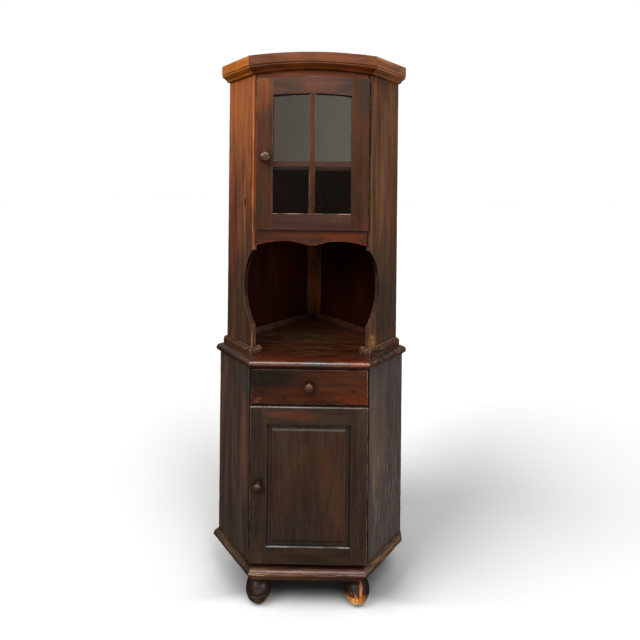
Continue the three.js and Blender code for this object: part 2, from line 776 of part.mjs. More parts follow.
UPPER_HINGES.forEach((z, i) => {
  const which = ["bottom", "top"][i];
  add(carcass, `upper_hinge_${which}_fixed_leaf`, fixedLeaf(UPPER_AXIS, UPX, UPY, z), metal());
  add(upperDoor, `upper_hinge_${which}_door_leaf`, doorLeaf(UPPER_AXIS, UD.x1, UD.y0 + 3.3, UD.y1 - 1.9, z), metal());
});

cupboard.position.set(...SHIFT);

export default cupboard;
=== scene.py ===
import json
import math
import random

import bmesh
import bpy
from mathutils import Matrix, Vector, noise

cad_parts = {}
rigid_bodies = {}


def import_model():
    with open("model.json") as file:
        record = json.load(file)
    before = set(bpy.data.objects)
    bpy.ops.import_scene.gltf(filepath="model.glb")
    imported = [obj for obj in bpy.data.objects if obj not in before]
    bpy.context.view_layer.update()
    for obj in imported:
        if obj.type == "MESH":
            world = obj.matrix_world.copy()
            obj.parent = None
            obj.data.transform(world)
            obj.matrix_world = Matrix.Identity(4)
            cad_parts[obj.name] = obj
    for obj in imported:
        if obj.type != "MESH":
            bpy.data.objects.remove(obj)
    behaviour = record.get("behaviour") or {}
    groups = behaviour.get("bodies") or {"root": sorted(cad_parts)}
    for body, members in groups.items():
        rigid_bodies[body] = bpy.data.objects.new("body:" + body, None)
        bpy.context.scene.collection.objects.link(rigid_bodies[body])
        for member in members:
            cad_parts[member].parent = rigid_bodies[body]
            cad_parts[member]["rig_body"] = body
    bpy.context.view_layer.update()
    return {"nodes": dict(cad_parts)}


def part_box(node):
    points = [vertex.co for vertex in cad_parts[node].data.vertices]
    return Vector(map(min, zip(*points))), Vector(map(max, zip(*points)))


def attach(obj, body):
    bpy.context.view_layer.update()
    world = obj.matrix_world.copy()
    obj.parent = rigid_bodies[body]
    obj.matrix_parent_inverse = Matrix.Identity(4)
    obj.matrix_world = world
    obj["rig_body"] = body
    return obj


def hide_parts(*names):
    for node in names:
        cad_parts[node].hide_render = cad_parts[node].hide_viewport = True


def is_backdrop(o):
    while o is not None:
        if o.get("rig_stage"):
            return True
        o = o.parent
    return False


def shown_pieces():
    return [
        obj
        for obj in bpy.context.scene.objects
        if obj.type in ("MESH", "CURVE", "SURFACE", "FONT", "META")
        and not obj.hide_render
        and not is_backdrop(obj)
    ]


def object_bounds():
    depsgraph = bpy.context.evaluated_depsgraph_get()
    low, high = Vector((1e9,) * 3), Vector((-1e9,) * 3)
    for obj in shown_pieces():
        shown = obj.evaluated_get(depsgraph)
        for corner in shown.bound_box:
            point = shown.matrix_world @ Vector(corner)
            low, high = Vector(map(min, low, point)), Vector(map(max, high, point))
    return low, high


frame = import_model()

NODES = frame["nodes"]
S = math.sqrt(0.5)

# ----------------------------------------------------------------------------------------------- camera
cam_data = bpy.data.cameras.new("camera")
cam = bpy.data.objects.new("camera", cam_data)
bpy.context.scene.collection.objects.link(cam)
bpy.context.scene.camera = cam
cam_data.sensor_width = 36.0
cam_data.sensor_fit = "AUTO"
cam_data.lens = 397.3 * 36.0 / 640.0
cam_data.shift_x = -(321.8 - 320.0) / 640.0
cam_data.shift_y = (191.3 - 320.0) / 640.0
cam_data.clip_start, cam_data.clip_end = 0.05, 60.0
YAW, ROLL = -0.0098, 0.0100
fwd = Vector((math.sin(YAW), math.cos(YAW), 0.0))
flat_right = Vector((math.cos(YAW), -math.sin(YAW), 0.0))
up = Vector((0, 0, 1))
c_right = flat_right * math.cos(ROLL) + up * math.sin(ROLL)
c_up = up * math.cos(ROLL) - flat_right * math.sin(ROLL)
cam.matrix_world = Matrix((
    (c_right.x, c_up.x, -fwd.x, 0.0513),
    (c_right.y, c_up.y, -fwd.y, -1.5995),
    (c_right.z, c_up.z, -fwd.z, 1.4352),
    (0, 0, 0, 1)))


# ----------------------------------------------------------------------------------------------- colour
def lin(c):
    """'#rrggbb' to linear colour."""
    out = []
    for i in (1, 3, 5):
        v = int(c[i:i + 2], 16) / 255.0
        out.append(v / 12.92 if v <= 0.04045 else ((v + 0.055) / 1.055) ** 2.4)
    return (*out, 1.0)


# ----------------------------------------------------------------------------------------------- node graphs
class Graph:
    """Short words for building a shader's node tree."""

    def __init__(self, tree):
        self.tree, self.nodes, self.links = tree, tree.nodes, tree.links
        self.nodes.clear()

    def put(self, socket, value):
        if isinstance(value, bpy.types.NodeSocket):
            self.links.new(value, socket)
        elif value is not None:
            socket.default_value = value

    def node(self, kind, **props):
        n = self.nodes.new(kind)
        for k, v in props.items():
            setattr(n, k, v)
        return n

    def math(self, op, a, b=None, c=None, clamp=False):
        n = self.node("ShaderNodeMath", operation=op, use_clamp=clamp)
        for i, v in enumerate((a, b, c)):
            if v is not None:
                self.put(n.inputs[i], v)
        return n.outputs[0]

    def add(self, a, b): return self.math("ADD", a, b)
    def sub(self, a, b): return self.math("SUBTRACT", a, b)
    def mul(self, a, b): return self.math("MULTIPLY", a, b)
    def madd(self, a, b, c): return self.math("MULTIPLY_ADD", a, b, c)
    def maxi(self, a, b): return self.math("MAXIMUM", a, b)
    def mini(self, a, b): return self.math("MINIMUM", a, b)

    def vec(self, op, a, b=None):
        n = self.node("ShaderNodeVectorMath", operation=op)
        self.put(n.inputs[0], a)
        if b is not None:
            if op == "SCALE":
                self.put(n.inputs["Scale"], b)
            else:
                self.put(n.inputs[1], b)
        return n.outputs["Value"] if op in ("DOT_PRODUCT", "LENGTH", "DISTANCE") else n.outputs["Vector"]

    def combine(self, x, y, z):
        n = self.node("ShaderNodeCombineXYZ")
        for i, v in enumerate((x, y, z)):
            self.put(n.inputs[i], v)
        return n.outputs[0]

    def noise(self, vector, scale=1.0, detail=2.0, rough=0.5, distortion=0.0, out="Fac"):
        n = self.node("ShaderNodeTexNoise", noise_dimensions="3D")
        self.put(n.inputs["Vector"], vector)
        n.inputs["Scale"].default_value = scale
        n.inputs["Detail"].default_value = detail
        n.inputs["Roughness"].default_value = rough
        n.inputs["Distortion"].default_value = distortion
        return n.outputs[out]

    def smooth(self, x, lo, hi, a=0.0, b=1.0, kind="SMOOTHSTEP"):
        n = self.node("ShaderNodeMapRange", interpolation_type=kind)
        self.put(n.inputs["Value"], x)
        n.inputs["From Min"].default_value = lo
        n.inputs["From Max"].default_value = hi
        n.inputs["To Min"].default_value = a
        n.inputs["To Max"].default_value = b
        return n.outputs["Result"]

    def mix(self, fac, a, b, blend="MIX"):
        n = self.node("ShaderNodeMix", data_type="RGBA", blend_type=blend)
        self.put(n.inputs[0], fac)
        self.put(n.inputs[6], a)
        self.put(n.inputs[7], b)
        return n.outputs[2]

    def ramp(self, fac, stops, kind="EASE"):
        n = self.node("ShaderNodeValToRGB")
        n.color_ramp.interpolation = kind
        e = n.color_ramp.elements
        while len(e) < len(stops):
            e.new(0.5)
        for i, (p, c) in enumerate(stops):
            e[i].position = p
            e[i].color = c
        self.put(n.inputs[0], fac)
        return n.outputs[0]

    def ao(self, distance, inside=False, local=False, samples=4):
        n = self.node("ShaderNodeAmbientOcclusion", samples=samples, inside=inside, only_local=local)
        n.inputs["Distance"].default_value = distance
        return n.outputs["AO"]


def material(name):
    m = bpy.data.materials.new(name)
    m.use_nodes = True
    return m, Graph(m.node_tree)


# colour gains for each board, fitted so that each comes out at its measured colour under these lamps: they set the
# stains against each other, and where the lamps give a board too much or too little light they carry painted light and
# shade as well
TUNE = {
    "upper_side_left_wood": (0.939, 1.017, 1.030),
    "upper_side_right_wood": (1.251, 0.988, 0.770),
    "lower_side_left_wood": (1.862, 2.264, 2.437),
    "lower_side_right_wood": (1.538, 1.928, 2.112),
    "upper_rail_wood": (0.446, 0.463, 0.423),
    "upper_stile_wood": (0.463, 0.373, 0.216),
    "bar_vertical_wood": (0.630, 0.524, 0.327),
    "bar_horizontal_wood": (0.317, 0.340, 0.331),
    "apron_wood": (0.568, 0.282, 0.080),
    "arch_rail_wood": (0.649, 0.525, 0.120),
    "cornice_front_wood": (0.433, 0.338, 0.123),
    "cornice_left_wood": (1.067, 0.958, 0.539),
    "cornice_right_wood": (1.728, 1.543, 1.280),
    "drawer_front_wood": (0.542, 0.407, 0.132),
    "lower_stile_wood": (1.297, 1.361, 1.323),
    "lower_rail_wood": (1.317, 1.350, 1.252),
    "lower_panel_wood": (1.160, 1.184, 1.243),
    "counter_wood": (0.799, 0.812, 0.494),
    "inside_wood": (1.430, 0.798, 0.200),
    "corner_post_wood": (0.907, 0.485, 0.092),
    "plinth_wood": (1.963, 1.814, 1.753),
}


def wood(name, grain, across, palette, seed=1, ring=0.35, ring_w=0.008, cath=(0.0, 0.05, 0.02), streak=0.9, blotch=0.5,
         fibre=0.25, zones=(), knots=(), wear=0.35, wear_and_highlight_col="#8a6242", dirt_and_shade=0.75, dirt_and_shade_reach=0.03, rough=(0.36, 0.56),
         spec=0.22, coat=0.0, bump=1.0, scratch=None, wander=0.006, streak_f=(7.0, 130.0), round_wear=0.0,
         band=0.8, scuff=(0.35, "#8a6c54"), coat_rough=0.28, mottle=0.5, ragged=(1.0, 1.1),
         outline=None):
    """Stained pine. grain and across are the board's directions; palette is (dark, middle, light).
    cath is (middle line across, depth of the heart behind the face, taper): where the rings run out in arches.
    zones are (centre, size, colour, strength): places where the stain took differently, and on some boards painted
    light and shade. knots are (u, v, size) along the grain and across it, in metres. scratch is a list of (amount,
    colour, along, across, [(centre, size)]); on the counter's and plinth's noses some of them are painted highlights.
    ragged is how fine and how deep the outlines of the zones are broken up.
    outline is a rectangle in front view, (x, z, half width, half height, line, strength), along which grime and painted
    shade lie."""
    m, g = material(name)
    tex = g.node("ShaderNodeTexCoord")
    P = tex.outputs["Object"]
    gu, gv = Vector(grain).normalized(), Vector(across).normalized()
    gw = gu.cross(gv).normalized()
    u = g.vec("DOT_PRODUCT", P, tuple(gu))
    v = g.vec("DOT_PRODUCT", P, tuple(gv))
    w = g.vec("DOT_PRODUCT", P, tuple(gw))
    r = random.Random(seed)
    ou, ov, ow = (r.uniform(-4, 4) for _ in range(3))

    # grain lines bow round the knots
    core = None
    vb = v
    for ku, kv, ks in knots:
        du = g.math("DIVIDE", g.sub(u, ku), ks * 2.4)
        dv = g.math("DIVIDE", g.sub(v, kv), ks)
        d2 = g.add(g.mul(du, du), g.mul(dv, dv))
        pull = g.math("EXPONENT", g.mul(d2, -0.28))
        vb = g.sub(vb, g.mul(g.mul(g.sub(v, kv), 0.8), pull))
        k = g.smooth(d2, 0.9, 0.10)
        core = k if core is None else g.maxi(core, k)
    wide = g.noise(g.combine(g.madd(u, 1.3, ou), g.madd(v, 5.0, ov), g.madd(w, 5.0, ow)), 1.0, 2.0, 0.5)
    vw = g.madd(g.sub(wide, 0.5), wander * 2, vb)

    # growth rings, as shells round a heart that lies behind the face
    vc, depth, taper = cath
    tip = g.noise(g.combine(g.madd(u, 0.9, ou + 7), ov, ow), 1.0, 1.0, 0.5)
    hh = g.add(g.madd(u, taper, depth), g.mul(g.sub(tip, 0.5), 0.05))
    a = g.sub(vw, vc)
    b = g.add(w, hh)
    rad = g.math("SQRT", g.add(g.mul(a, a), g.mul(b, b)))
    ph = g.math("FRACT", g.math("DIVIDE", rad, ring_w))
    late = g.mul(g.smooth(ph, 0.45, 0.88), g.smooth(ph, 1.0, 0.90))

    fu, fv = streak_f
    st = g.noise(g.combine(g.madd(u, fu, ou), g.madd(vw, fv, ov), g.madd(w, fv, ow)), 1.0, 3.5, 0.62)
    st2 = g.noise(g.combine(g.madd(u, fu * 0.32, ov), g.madd(vw, fv * 0.3, ow), g.madd(w, fv * 0.3, ou)), 1.0, 2.0, 0.5)
    fine = g.noise(g.combine(g.madd(u, 34.0, ow), g.madd(vw, 800.0, ou), g.madd(w, 800.0, ov)), 1.0, 2.0, 0.6)
    st3 = g.noise(g.combine(g.madd(u, 2.2, ow + 5), g.madd(vw, 46.0, ou + 2), g.madd(w, 46.0, ov + 1)), 1.0, 3.0, 0.6)
    blo = g.noise(g.combine(g.madd(u, 2.6, ow + 3), g.madd(v, 8.0, ou), g.madd(w, 8.0, ov)), 1.0, 3.0, 0.55)

    t = g.madd(g.sub(st, 0.5), streak * 1.1, 0.5)
    t = g.madd(g.sub(st2, 0.5), streak * 0.8, t)
    t = g.madd(late, -0.6 * ring, g.add(t, ring * 0.18))
    t = g.madd(g.sub(st3, 0.5), band * 1.5, t)
    t = g.madd(g.sub(blo, 0.5), blotch * 1.6, t)
    t = g.madd(g.sub(fine, 0.5), fibre, t)
    tone = g.math("ADD", t, 0.0, clamp=True)
    d_, m_, l_ = (lin(c) for c in palette)
    col = g.ramp(tone, [(0.08, d_), (0.5, m_), (0.92, l_)], "LINEAR")
    shade = g.madd(tone, 0.9, 0.55)

    # places where the stain took differently, or was rubbed off, and on some boards painted light and shade
    if zones or scratch:
        fz = ragged[0]
        nz = g.noise(g.combine(g.madd(u, 7.0 * fz, ou), g.madd(v, 22.0 * fz, ov), g.madd(w, 22.0 * fz, ow)), 1.0, 3.0, 0.6,
                     out="Color")
        nz = g.vec("SCALE", g.vec("SUBTRACT", nz, (0.5, 0.5, 0.5)), ragged[1])
    for centre, size, colour, amount in zones:
        q = g.vec("ADD", g.vec("DIVIDE", g.vec("SUBTRACT", P, centre), size), nz)
        k = g.mul(g.smooth(g.vec("LENGTH", q), 1.15, 0.25), amount)
        stain = g.vec("SCALE", lin(colour)[:3], shade)
        col = g.mix(k, col, stain)
    if core is not None:
        col = g.mix(g.mul(core, 0.8), col, g.vec("SCALE", d_[:3], 0.45))

    # cloudy stain, warmer and cooler by turns
    if mottle:
        mo = g.noise(g.combine(g.madd(u, 13.0, ou + 9), g.madd(v, 36.0, ov + 9), g.madd(w, 36.0, ow + 9)), 1.0, 4.0, 0.62)
        tint = g.ramp(mo, [(0.34, (0.66, 0.74, 0.84, 1)), (0.5, (0.80, 0.80, 0.80, 1)), (0.66, (1.0, 0.80, 0.66, 1))], "LINEAR")
        tint = g.mix(mottle, (0.80, 0.80, 0.80, 1), tint)
        col = g.vec("MULTIPLY", col, g.vec("SCALE", tint, 1.25))
    if name in TUNE:
        col = g.vec("MULTIPLY", col, TUNE[name])

    # wear: edges rubbed through the stain; on the lower door and the upper door's bottom rail the same mask and colour
    # also paint highlights along the arrises
    arris = g.node("ShaderNodeAttribute", attribute_type="GEOMETRY", attribute_name="arris").outputs["Fac"]
    if round_wear:
        arris = g.maxi(arris, g.mul(g.smooth(g.ao(0.005, inside=True, local=True, samples=4), 0.84, 0.52), round_wear))
    rub = g.noise(g.combine(g.madd(u, 22.0, ou), g.madd(v, 60.0, ov), g.madd(w, 60.0, ow)), 1.0, 3.0, 0.6)
    em = g.mul(arris, g.smooth(rub, 0.62 - 0.35 * wear, 0.80 - 0.30 * wear))
    em = g.mul(em, min(1.0, wear * 1.6))
    col = g.mix(em, col, g.vec("SCALE", lin(wear_and_highlight_col)[:3], g.madd(fine, 0.6, 0.7)))
    worn = em

    for amount, colour, along, ac, places in scratch or ():
        sn = g.noise(g.combine(g.madd(u, along, ow + amount), g.madd(v, ac, ou), g.madd(w, ac, ov)), 1.0, 4.0, 0.7)
        sm = g.smooth(sn, 0.54, 0.63)
        area = None
        for centre, size in places:
            q = g.vec("ADD", g.vec("DIVIDE", g.vec("SUBTRACT", P, centre), size), nz)
            k = g.smooth(g.vec("LENGTH", q), 1.1, 0.5)
            area = k if area is None else g.maxi(area, k)
        sm = g.mul(sm, amount) if area is None else g.mul(g.mul(sm, area), amount)
        col = g.mix(sm, col, lin(colour))
        worn = g.maxi(worn, sm)

    # short light scuffs along the grain, in patches
    if scuff:
        where = g.noise(g.combine(g.madd(u, 5.0, ov + 4), g.madd(v, 11.0, ow + 4), g.madd(w, 11.0, ou + 4)), 1.0, 2.0, 0.5)
        line = g.noise(g.combine(g.madd(u, 26.0, ov), g.madd(v, 420.0, ow), g.madd(w, 420.0, ou)), 1.0, 3.0, 0.62)
        sc = g.mul(g.mul(g.smooth(line, 0.60, 0.70), g.smooth(where, 0.50, 0.66)), scuff[0])
        col = g.mix(sc, col, lin(scuff[1]))
        worn = g.maxi(worn, sc)

    # painted shade and grime: a dark line along the rectangle, here the panel field's border
    if outline:
        x_, z_, hx, hz, broad, dark = outline
        xyz = g.node("ShaderNodeSeparateXYZ")
        g.put(xyz.inputs[0], P)
        dx = g.sub(g.math("ABSOLUTE", g.sub(xyz.outputs[0], x_)), hx)
        dz = g.sub(g.math("ABSOLUTE", g.sub(xyz.outputs[2], z_)), hz)
        k = g.smooth(g.math("ABSOLUTE", g.maxi(dx, dz)), broad, broad * 0.25)
        k = g.mul(g.mul(k, g.smooth(rub, 0.25, 0.55, 0.55, 1.0)), dark)
        col = g.mix(k, col, g.vec("SCALE", col, 0.16))

    # painted shade and dirt: darker where ambient occlusion finds corners and recesses, standing for the shade that
    # falls there as well as for dirt and old wax
    if dirt_and_shade:
        occ = g.ao(dirt_and_shade_reach, samples=5)
        k = g.mul(g.smooth(occ, 0.92, 0.35), dirt_and_shade)
        col = g.mix(k, col, g.vec("MULTIPLY", col, (0.16, 0.12, 0.10)))

    p = g.node("ShaderNodeBsdfPrincipled")
    g.put(p.inputs["Base Color"], col)
    gl = g.noise(g.combine(g.madd(u, 9.0, ou), g.madd(v, 26.0, ov), g.madd(w, 26.0, ow)), 1.0, 3.0, 0.6)
    ro = g.madd(g.smooth(gl, 0.3, 0.7), rough[1] - rough[0], rough[0])
    ro = g.madd(worn, 0.22, ro)
    g.put(p.inputs["Roughness"], g.math("ADD", ro, 0.0, clamp=True))
    p.inputs["Specular IOR Level"].default_value = spec
    if coat:
        p.inputs["Coat Weight"].default_value = coat
        p.inputs["Coat Roughness"].default_value = coat_rough
    # relief: open fibres, proud late wood, small dents
    dents = g.noise(g.vec("ADD", P, (ov, ow, ou)), 55.0, 2.0, 0.5)
    h = g.madd(fine, 0.30, g.mul(st, 0.55))
    h = g.madd(late, 0.35 * min(1.0, ring * 2), h)
    h = g.madd(g.smooth(dents, 0.30, 0.42), 0.5, h)
    bn = g.node("ShaderNodeBump")
    bn.inputs["Strength"].default_value = 0.45 * bump
    bn.inputs["Distance"].default_value = 0.0012
    g.put(bn.inputs["Height"], h)
    g.put(p.inputs["Normal"], bn.outputs[0])
    out = g.node("ShaderNodeOutputMaterial")
    g.links.new(p.outputs[0], out.inputs[0])
    return m


# ----------------------------------------------------------------------------------------------- palettes
Z = (0, 0, 1)
X = (1, 0, 0)
Y = (0, 1, 0)
TL = (-S, S, 0)      # along the left return, from its front edge to the wall
TR = (S, S, 0)       # along the right return

MAT = {}
# lighter and warmer towards the top, darker lower down: partly stain, partly painted warm light from the upper left;
# the orange front strip is painted light on an end face that lies in the door's shadow
MAT["upper_side_left"] = wood(
    "upper_side_left_wood", Z, TL, ("#361c12", "#5e3725", "#8a5636"), seed=11, ring=0.25, ring_w=0.011,
    cath=(0.30, 0.05, 0.03), streak=0.8, blotch=0.45, knots=((1.392, 0.075, 0.010),),
    zones=(((-0.26, -0.10, 1.91), (0.22, 0.25, 0.52), "#98542c", 0.9),
           ((-0.196, -0.168, 1.53), (0.023, 0.023, 0.36), "#cc6c36", 0.85),
           ((-0.28, -0.10, 1.00), (0.25, 0.25, 0.34), "#402c22", 0.9),
           ((-0.32, -0.05, 1.30), (0.06, 0.10, 0.35), "#6a2f2a", 0.5)),
    wear=0.75, wear_and_highlight_col="#b87848", band=0.9, dirt_and_shade=0.12,
    scratch=[(0.3, "#c87c4a", 6.0, 300.0, [((-0.200, -0.170, 1.62), (0.018, 0.018, 0.34))])])
MAT["upper_side_right"] = wood(
    "upper_side_right_wood", Z, TR, ("#2a1c14", "#4c3729", "#6e5440"), seed=12, ring=0.25, ring_w=0.010,
    cath=(-0.02, 0.06, 0.02), streak=0.6, blotch=0.4, band=0.5, knots=((1.585, 0.020, 0.011),),
    zones=(((0.30, -0.09, 1.03), (0.2, 0.2, 0.32), "#322d2a", 0.9),
           ((0.225, -0.16, 0.885), (0.030, 0.030, 0.022), "#6e5238", 0.55)),
    wear=0.75, wear_and_highlight_col="#a08468", dirt_and_shade=0.12,
    scratch=[(0.9, "#c49c60", 26.0, 260.0, [((0.222, -0.163, 0.896), (0.022, 0.022, 0.024))])])
# the near-black band at the top of the scoop, under the apron, is painted shade
MAT["sawn_edge"] = wood("sawn_edge_wood", Z, X, ("#1a0e0a", "#38221a", "#5a4034"), seed=15, ring=0.1, streak=0.9, blotch=0.8,
                        zones=(((0.0, -0.1, 1.20), (0.5, 0.5, 0.09), "#0c0504", 0.95),),
                        wear=0.5, wear_and_highlight_col="#8a7460", dirt_and_shade=0.4, spec=0.08)
MAT["lower_side_left"] = wood(
    "lower_side_left_wood", Z, TL, ("#1e1512", "#33241e", "#4c362c"), seed=13, ring=0.12, ring_w=0.009,
    cath=(0.10, 0.04, 0.03), streak=0.6, blotch=0.5, band=0.7,
    zones=(((-0.225, -0.19, 0.56), (0.035, 0.035, 0.22), "#552c1e", 0.32),
           ((-0.22, -0.19, 0.76), (0.10, 0.10, 0.06), "#262422", 0.6),
           ((-0.30, -0.10, 0.22), (0.2, 0.2, 0.10), "#2c2624", 0.5)),
    wear=0.4, wear_and_highlight_col="#6a4c38")
MAT["lower_side_right"] = wood(
    "lower_side_right_wood", Z, TR, ("#2a211e", "#40332f", "#58463e"), seed=14, ring=0.12, ring_w=0.009,
    cath=(0.06, 0.04, 0.02), streak=0.5, blotch=0.4, band=0.4,
    zones=(((0.24, -0.18, 0.55), (0.06, 0.06, 0.25), "#5a4030", 0.5),
           ((0.345, -0.08, 0.20), (0.045, 0.045, 0.07), "#39362f", 0.5),
           ((0.225, -0.20, 0.19), (0.035, 0.035, 0.06), "#39362f", 0.5)),
    scratch=[(0.45, "#a08c84", 9.0, 210.0, [((0.29, -0.13, 0.34), (0.14, 0.14, 0.24))])],
    wear=0.45, wear_and_highlight_col="#86684e")
# darker than the stain alone: dark stain, and painted shade for the niche
MAT["inside"] = wood("inside_wood", Z, X, ("#0e0706", "#1c0b07", "#2c1209"), seed=21, ring=0.1, blotch=0.6, streak=0.4, band=0.35,
                     wear=0.1, wear_and_highlight_col="#3a2014", dirt_and_shade=0.5, rough=(0.55, 0.75), spec=0.03, scuff=None)
MAT["inside_flat"] = wood("inside_flat_wood", X, Y, ("#120906", "#26140c", "#3e2212"), seed=22, ring=0.2, blotch=0.5,
                          streak=0.8, wear=0.15, wear_and_highlight_col="#3a2014", dirt_and_shade=0.5, rough=(0.50, 0.70), spec=0.10)
MAT["corner_post"] = wood("corner_post_wood", Z, X, ("#1c1008", "#36220f", "#503418"), seed=23, ring=0.3, ring_w=0.006,
                          cath=(0.01, 0.02, 0.02), streak=0.9, wear=0.3, wear_and_highlight_col="#4a3018", dirt_and_shade=0.5, spec=0.04,
                          zones=(((0.0, 0.2, 0.99), (0.2, 0.3, 0.10), "#5c4424", 0.5),))
AGED = dict(streak=0.7, blotch=0.6, band=0.6, wear=0.4, wear_and_highlight_col="#b89a74", dirt_and_shade=0.35, rough=(0.62, 0.80), spec=0.15,
            scuff=(0.35, "#c0a680"), ring=0.45)
MAT["wall_left"] = wood("wall_left_wood", Z, TR, ("#5a422a", "#846746", "#a98c64"), seed=26, ring_w=0.012, cath=(0.04, 0.05, 0.03),
                        knots=((1.62, -0.10, 0.012), (1.15, 0.09, 0.015), (0.52, -0.06, 0.013)), **AGED)
MAT["wall_right"] = wood("wall_right_wood", Z, TL, ("#563f29", "#7f6344", "#a58861"), seed=27, ring_w=0.011, cath=(-0.05, 0.05, 0.03),
                         knots=((1.46, 0.07, 0.013), (1.02, -0.11, 0.012), (0.38, 0.05, 0.014)), **AGED)
MAT["dusty"] = wood("dusty_wood", X, Y, ("#54422f", "#7a644a", "#9c8567"), seed=28, ring_w=0.011, cath=(0.05, 0.05, 0.03), **AGED)
MAT["batten"] = wood("batten_wood", TL, Z, ("#1a0d08", "#301a10", "#4c2c1a"), seed=24, wear=0.3, wear_and_highlight_col="#5a3c26",
                     dirt_and_shade=0.5, spec=0.25)
MAT["batten_right"] = wood("batten_right_wood", TR, Z, ("#1a0d08", "#301a10", "#4c2c1a"), seed=25, wear=0.3,
                           wear_and_highlight_col="#5a3c26", dirt_and_shade=0.5, spec=0.25)

MAT["upper_stile"] = wood(
    "upper_stile_wood", Z, X, ("#33221c", "#55392f", "#744d3e"), seed=31, ring=0.12, ring_w=0.010, cath=(0.0, 0.20, 0.0),
    streak=0.6, blotch=0.65, band=0.6, zones=(((-0.175, -0.18, 1.80), (0.05, 0.1, 0.11), "#a06444", 0.8),
                                    ((-0.19, -0.18, 1.62), (0.05, 0.1, 0.22), "#6e4030", 0.6),
                                    ((0.19, -0.18, 1.80), (0.05, 0.1, 0.10), "#3a3230", 0.8),
                                    ((0.185, -0.18, 1.45), (0.05, 0.1, 0.20), "#4c3026", 0.5),
                                    ((-0.20, -0.18, 1.38), (0.03, 0.1, 0.16), "#3c3232", 0.6)),
    wear=0.7, wear_and_highlight_col="#a07a62", spec=0.12, mottle=0.65)
MAT["upper_rail"] = wood(
    "upper_rail_wood", X, Z, ("#33221c", "#563a30", "#744d3e"), seed=32, ring=0.25, ring_w=0.009, cath=(1.82, 0.10, 0.05),
    streak=0.6, blotch=0.6, band=0.5, zones=(((0.03, -0.18, 1.815), (0.09, 0.1, 0.03), "#80463a", 0.35),
                                    ((0.17, -0.18, 1.80), (0.07, 0.1, 0.06), "#3a3432", 0.7),
                                    ((0.0, -0.18, 1.315), (0.25, 0.1, 0.03), "#5c342a", 0.5)),
    wear=0.6, wear_and_highlight_col="#a07a62", spec=0.12, mottle=0.65)
MAT["bar_v"] = wood("bar_vertical_wood", Z, X, ("#331f18", "#5c3a2c", "#855544"), seed=33, ring=0.2, ring_w=0.006,
                    cath=(0.0, 0.03, 0.0), streak=0.9, blotch=0.6, wear=0.6, wear_and_highlight_col="#9a7460", spec=0.12, mottle=0.65)
MAT["bar_h"] = wood("bar_horizontal_wood", X, Z, ("#2c1c16", "#503428", "#75503e"), seed=34, ring=0.2, ring_w=0.006,
                    cath=(1.5, 0.03, 0.0), streak=0.9, blotch=0.6, wear=0.6, wear_and_highlight_col="#9a7460", spec=0.12, mottle=0.65)
MAT["arch_rail"] = wood(
    "arch_rail_wood", X, Z, ("#46241a", "#784030", "#a05c42"), seed=35, ring=0.2, ring_w=0.007, cath=(1.8, 0.05, 0.03),
    streak=0.8, blotch=0.4, wear=0.5, wear_and_highlight_col="#a87456", dirt_and_shade=0.85)
MAT["apron"] = wood(
    "apron_wood", X, Z, ("#2e1a10", "#573420", "#80502c"), seed=36, ring=0.25, ring_w=0.009, cath=(1.27, 0.07, 0.04),
    streak=0.8, blotch=0.5, zones=(((0.13, -0.18, 1.27), (0.10, 0.1, 0.035), "#704006", 0.9),
                                   ((-0.02, -0.18, 1.275), (0.08, 0.1, 0.03), "#584032", 0.6)),
    wear=0.4, wear_and_highlight_col="#9a6a3c")

# the dark spot under the knob is a painted shadow of the knob
MAT["drawer_front"] = wood(
    "drawer_front_wood", X, Z, ("#30160d", "#522a1a", "#744026"), seed=41, ring=0.12, ring_w=0.009, cath=(0.70, 0.045, 0.05),
    streak=0.7, blotch=0.6, band=0.5, knots=((-0.085, 0.722, 0.006), (0.155, 0.745, 0.007)),
    zones=(((-0.15, -0.22, 0.785), (0.14, 0.1, 0.055), "#16181a", 0.92),
           ((0.17, -0.22, 0.715), (0.10, 0.1, 0.045), "#84401c", 0.6),
           ((0.02, -0.22, 0.705), (0.06, 0.1, 0.03), "#3c1c12", 0.5),
           ((0.004, -0.22, 0.752), (0.030, 0.1, 0.030), "#160a07", 0.8)),
    wear=0.7, wear_and_highlight_col="#a08a74", coat=0.15,
    scratch=[(0.5, "#a88a70", 20.0, 160.0, [((-0.185, -0.22, 0.715), (0.02, 0.1, 0.014)), ((0.10, -0.22, 0.722), (0.012, 0.1, 0.010)),
                                           ((0.16, -0.22, 0.70), (0.03, 0.1, 0.008))])])
# the dark spot under the knob is a painted shadow of the knob; the pale grey along the door's top and right edges is a
# painted highlight as well as wear
MAT["lower_stile"] = wood(
    "lower_stile_wood", Z, X, ("#1a130f", "#2e221b", "#443328"), seed=42, ring=0.1, ring_w=0.008, cath=(0.0, 0.16, 0.0),
    streak=0.55, blotch=0.45, band=0.4, zones=(((0.19, -0.23, 0.64), (0.03, 0.1, 0.12), "#3c2e1e", 0.5),
                                   ((-0.18, -0.23, 0.30), (0.05, 0.1, 0.16), "#241e1a", 0.6),
                                   ((-0.168, -0.23, 0.424), (0.026, 0.1, 0.034), "#0e0a08", 0.75)),
    wear=0.75, wear_and_highlight_col="#7c746c", coat=0.35, coat_rough=0.22)
# the cool grey rubbed colour along the top edge and the bottom rail's inner edge is a painted highlight as well as wear
MAT["lower_rail"] = wood(
    "lower_rail_wood", X, Z, ("#1a130f", "#2e221b", "#443328"), seed=43, ring=0.1, ring_w=0.008, cath=(0.655, 0.08, 0.03),
    streak=0.55, blotch=0.45, band=0.4, zones=(((-0.06, -0.23, 0.668), (0.13, 0.1, 0.022), "#5c2c14", 0.55),),
    wear=0.95, wear_and_highlight_col="#8e9092", coat=0.35, coat_rough=0.22)
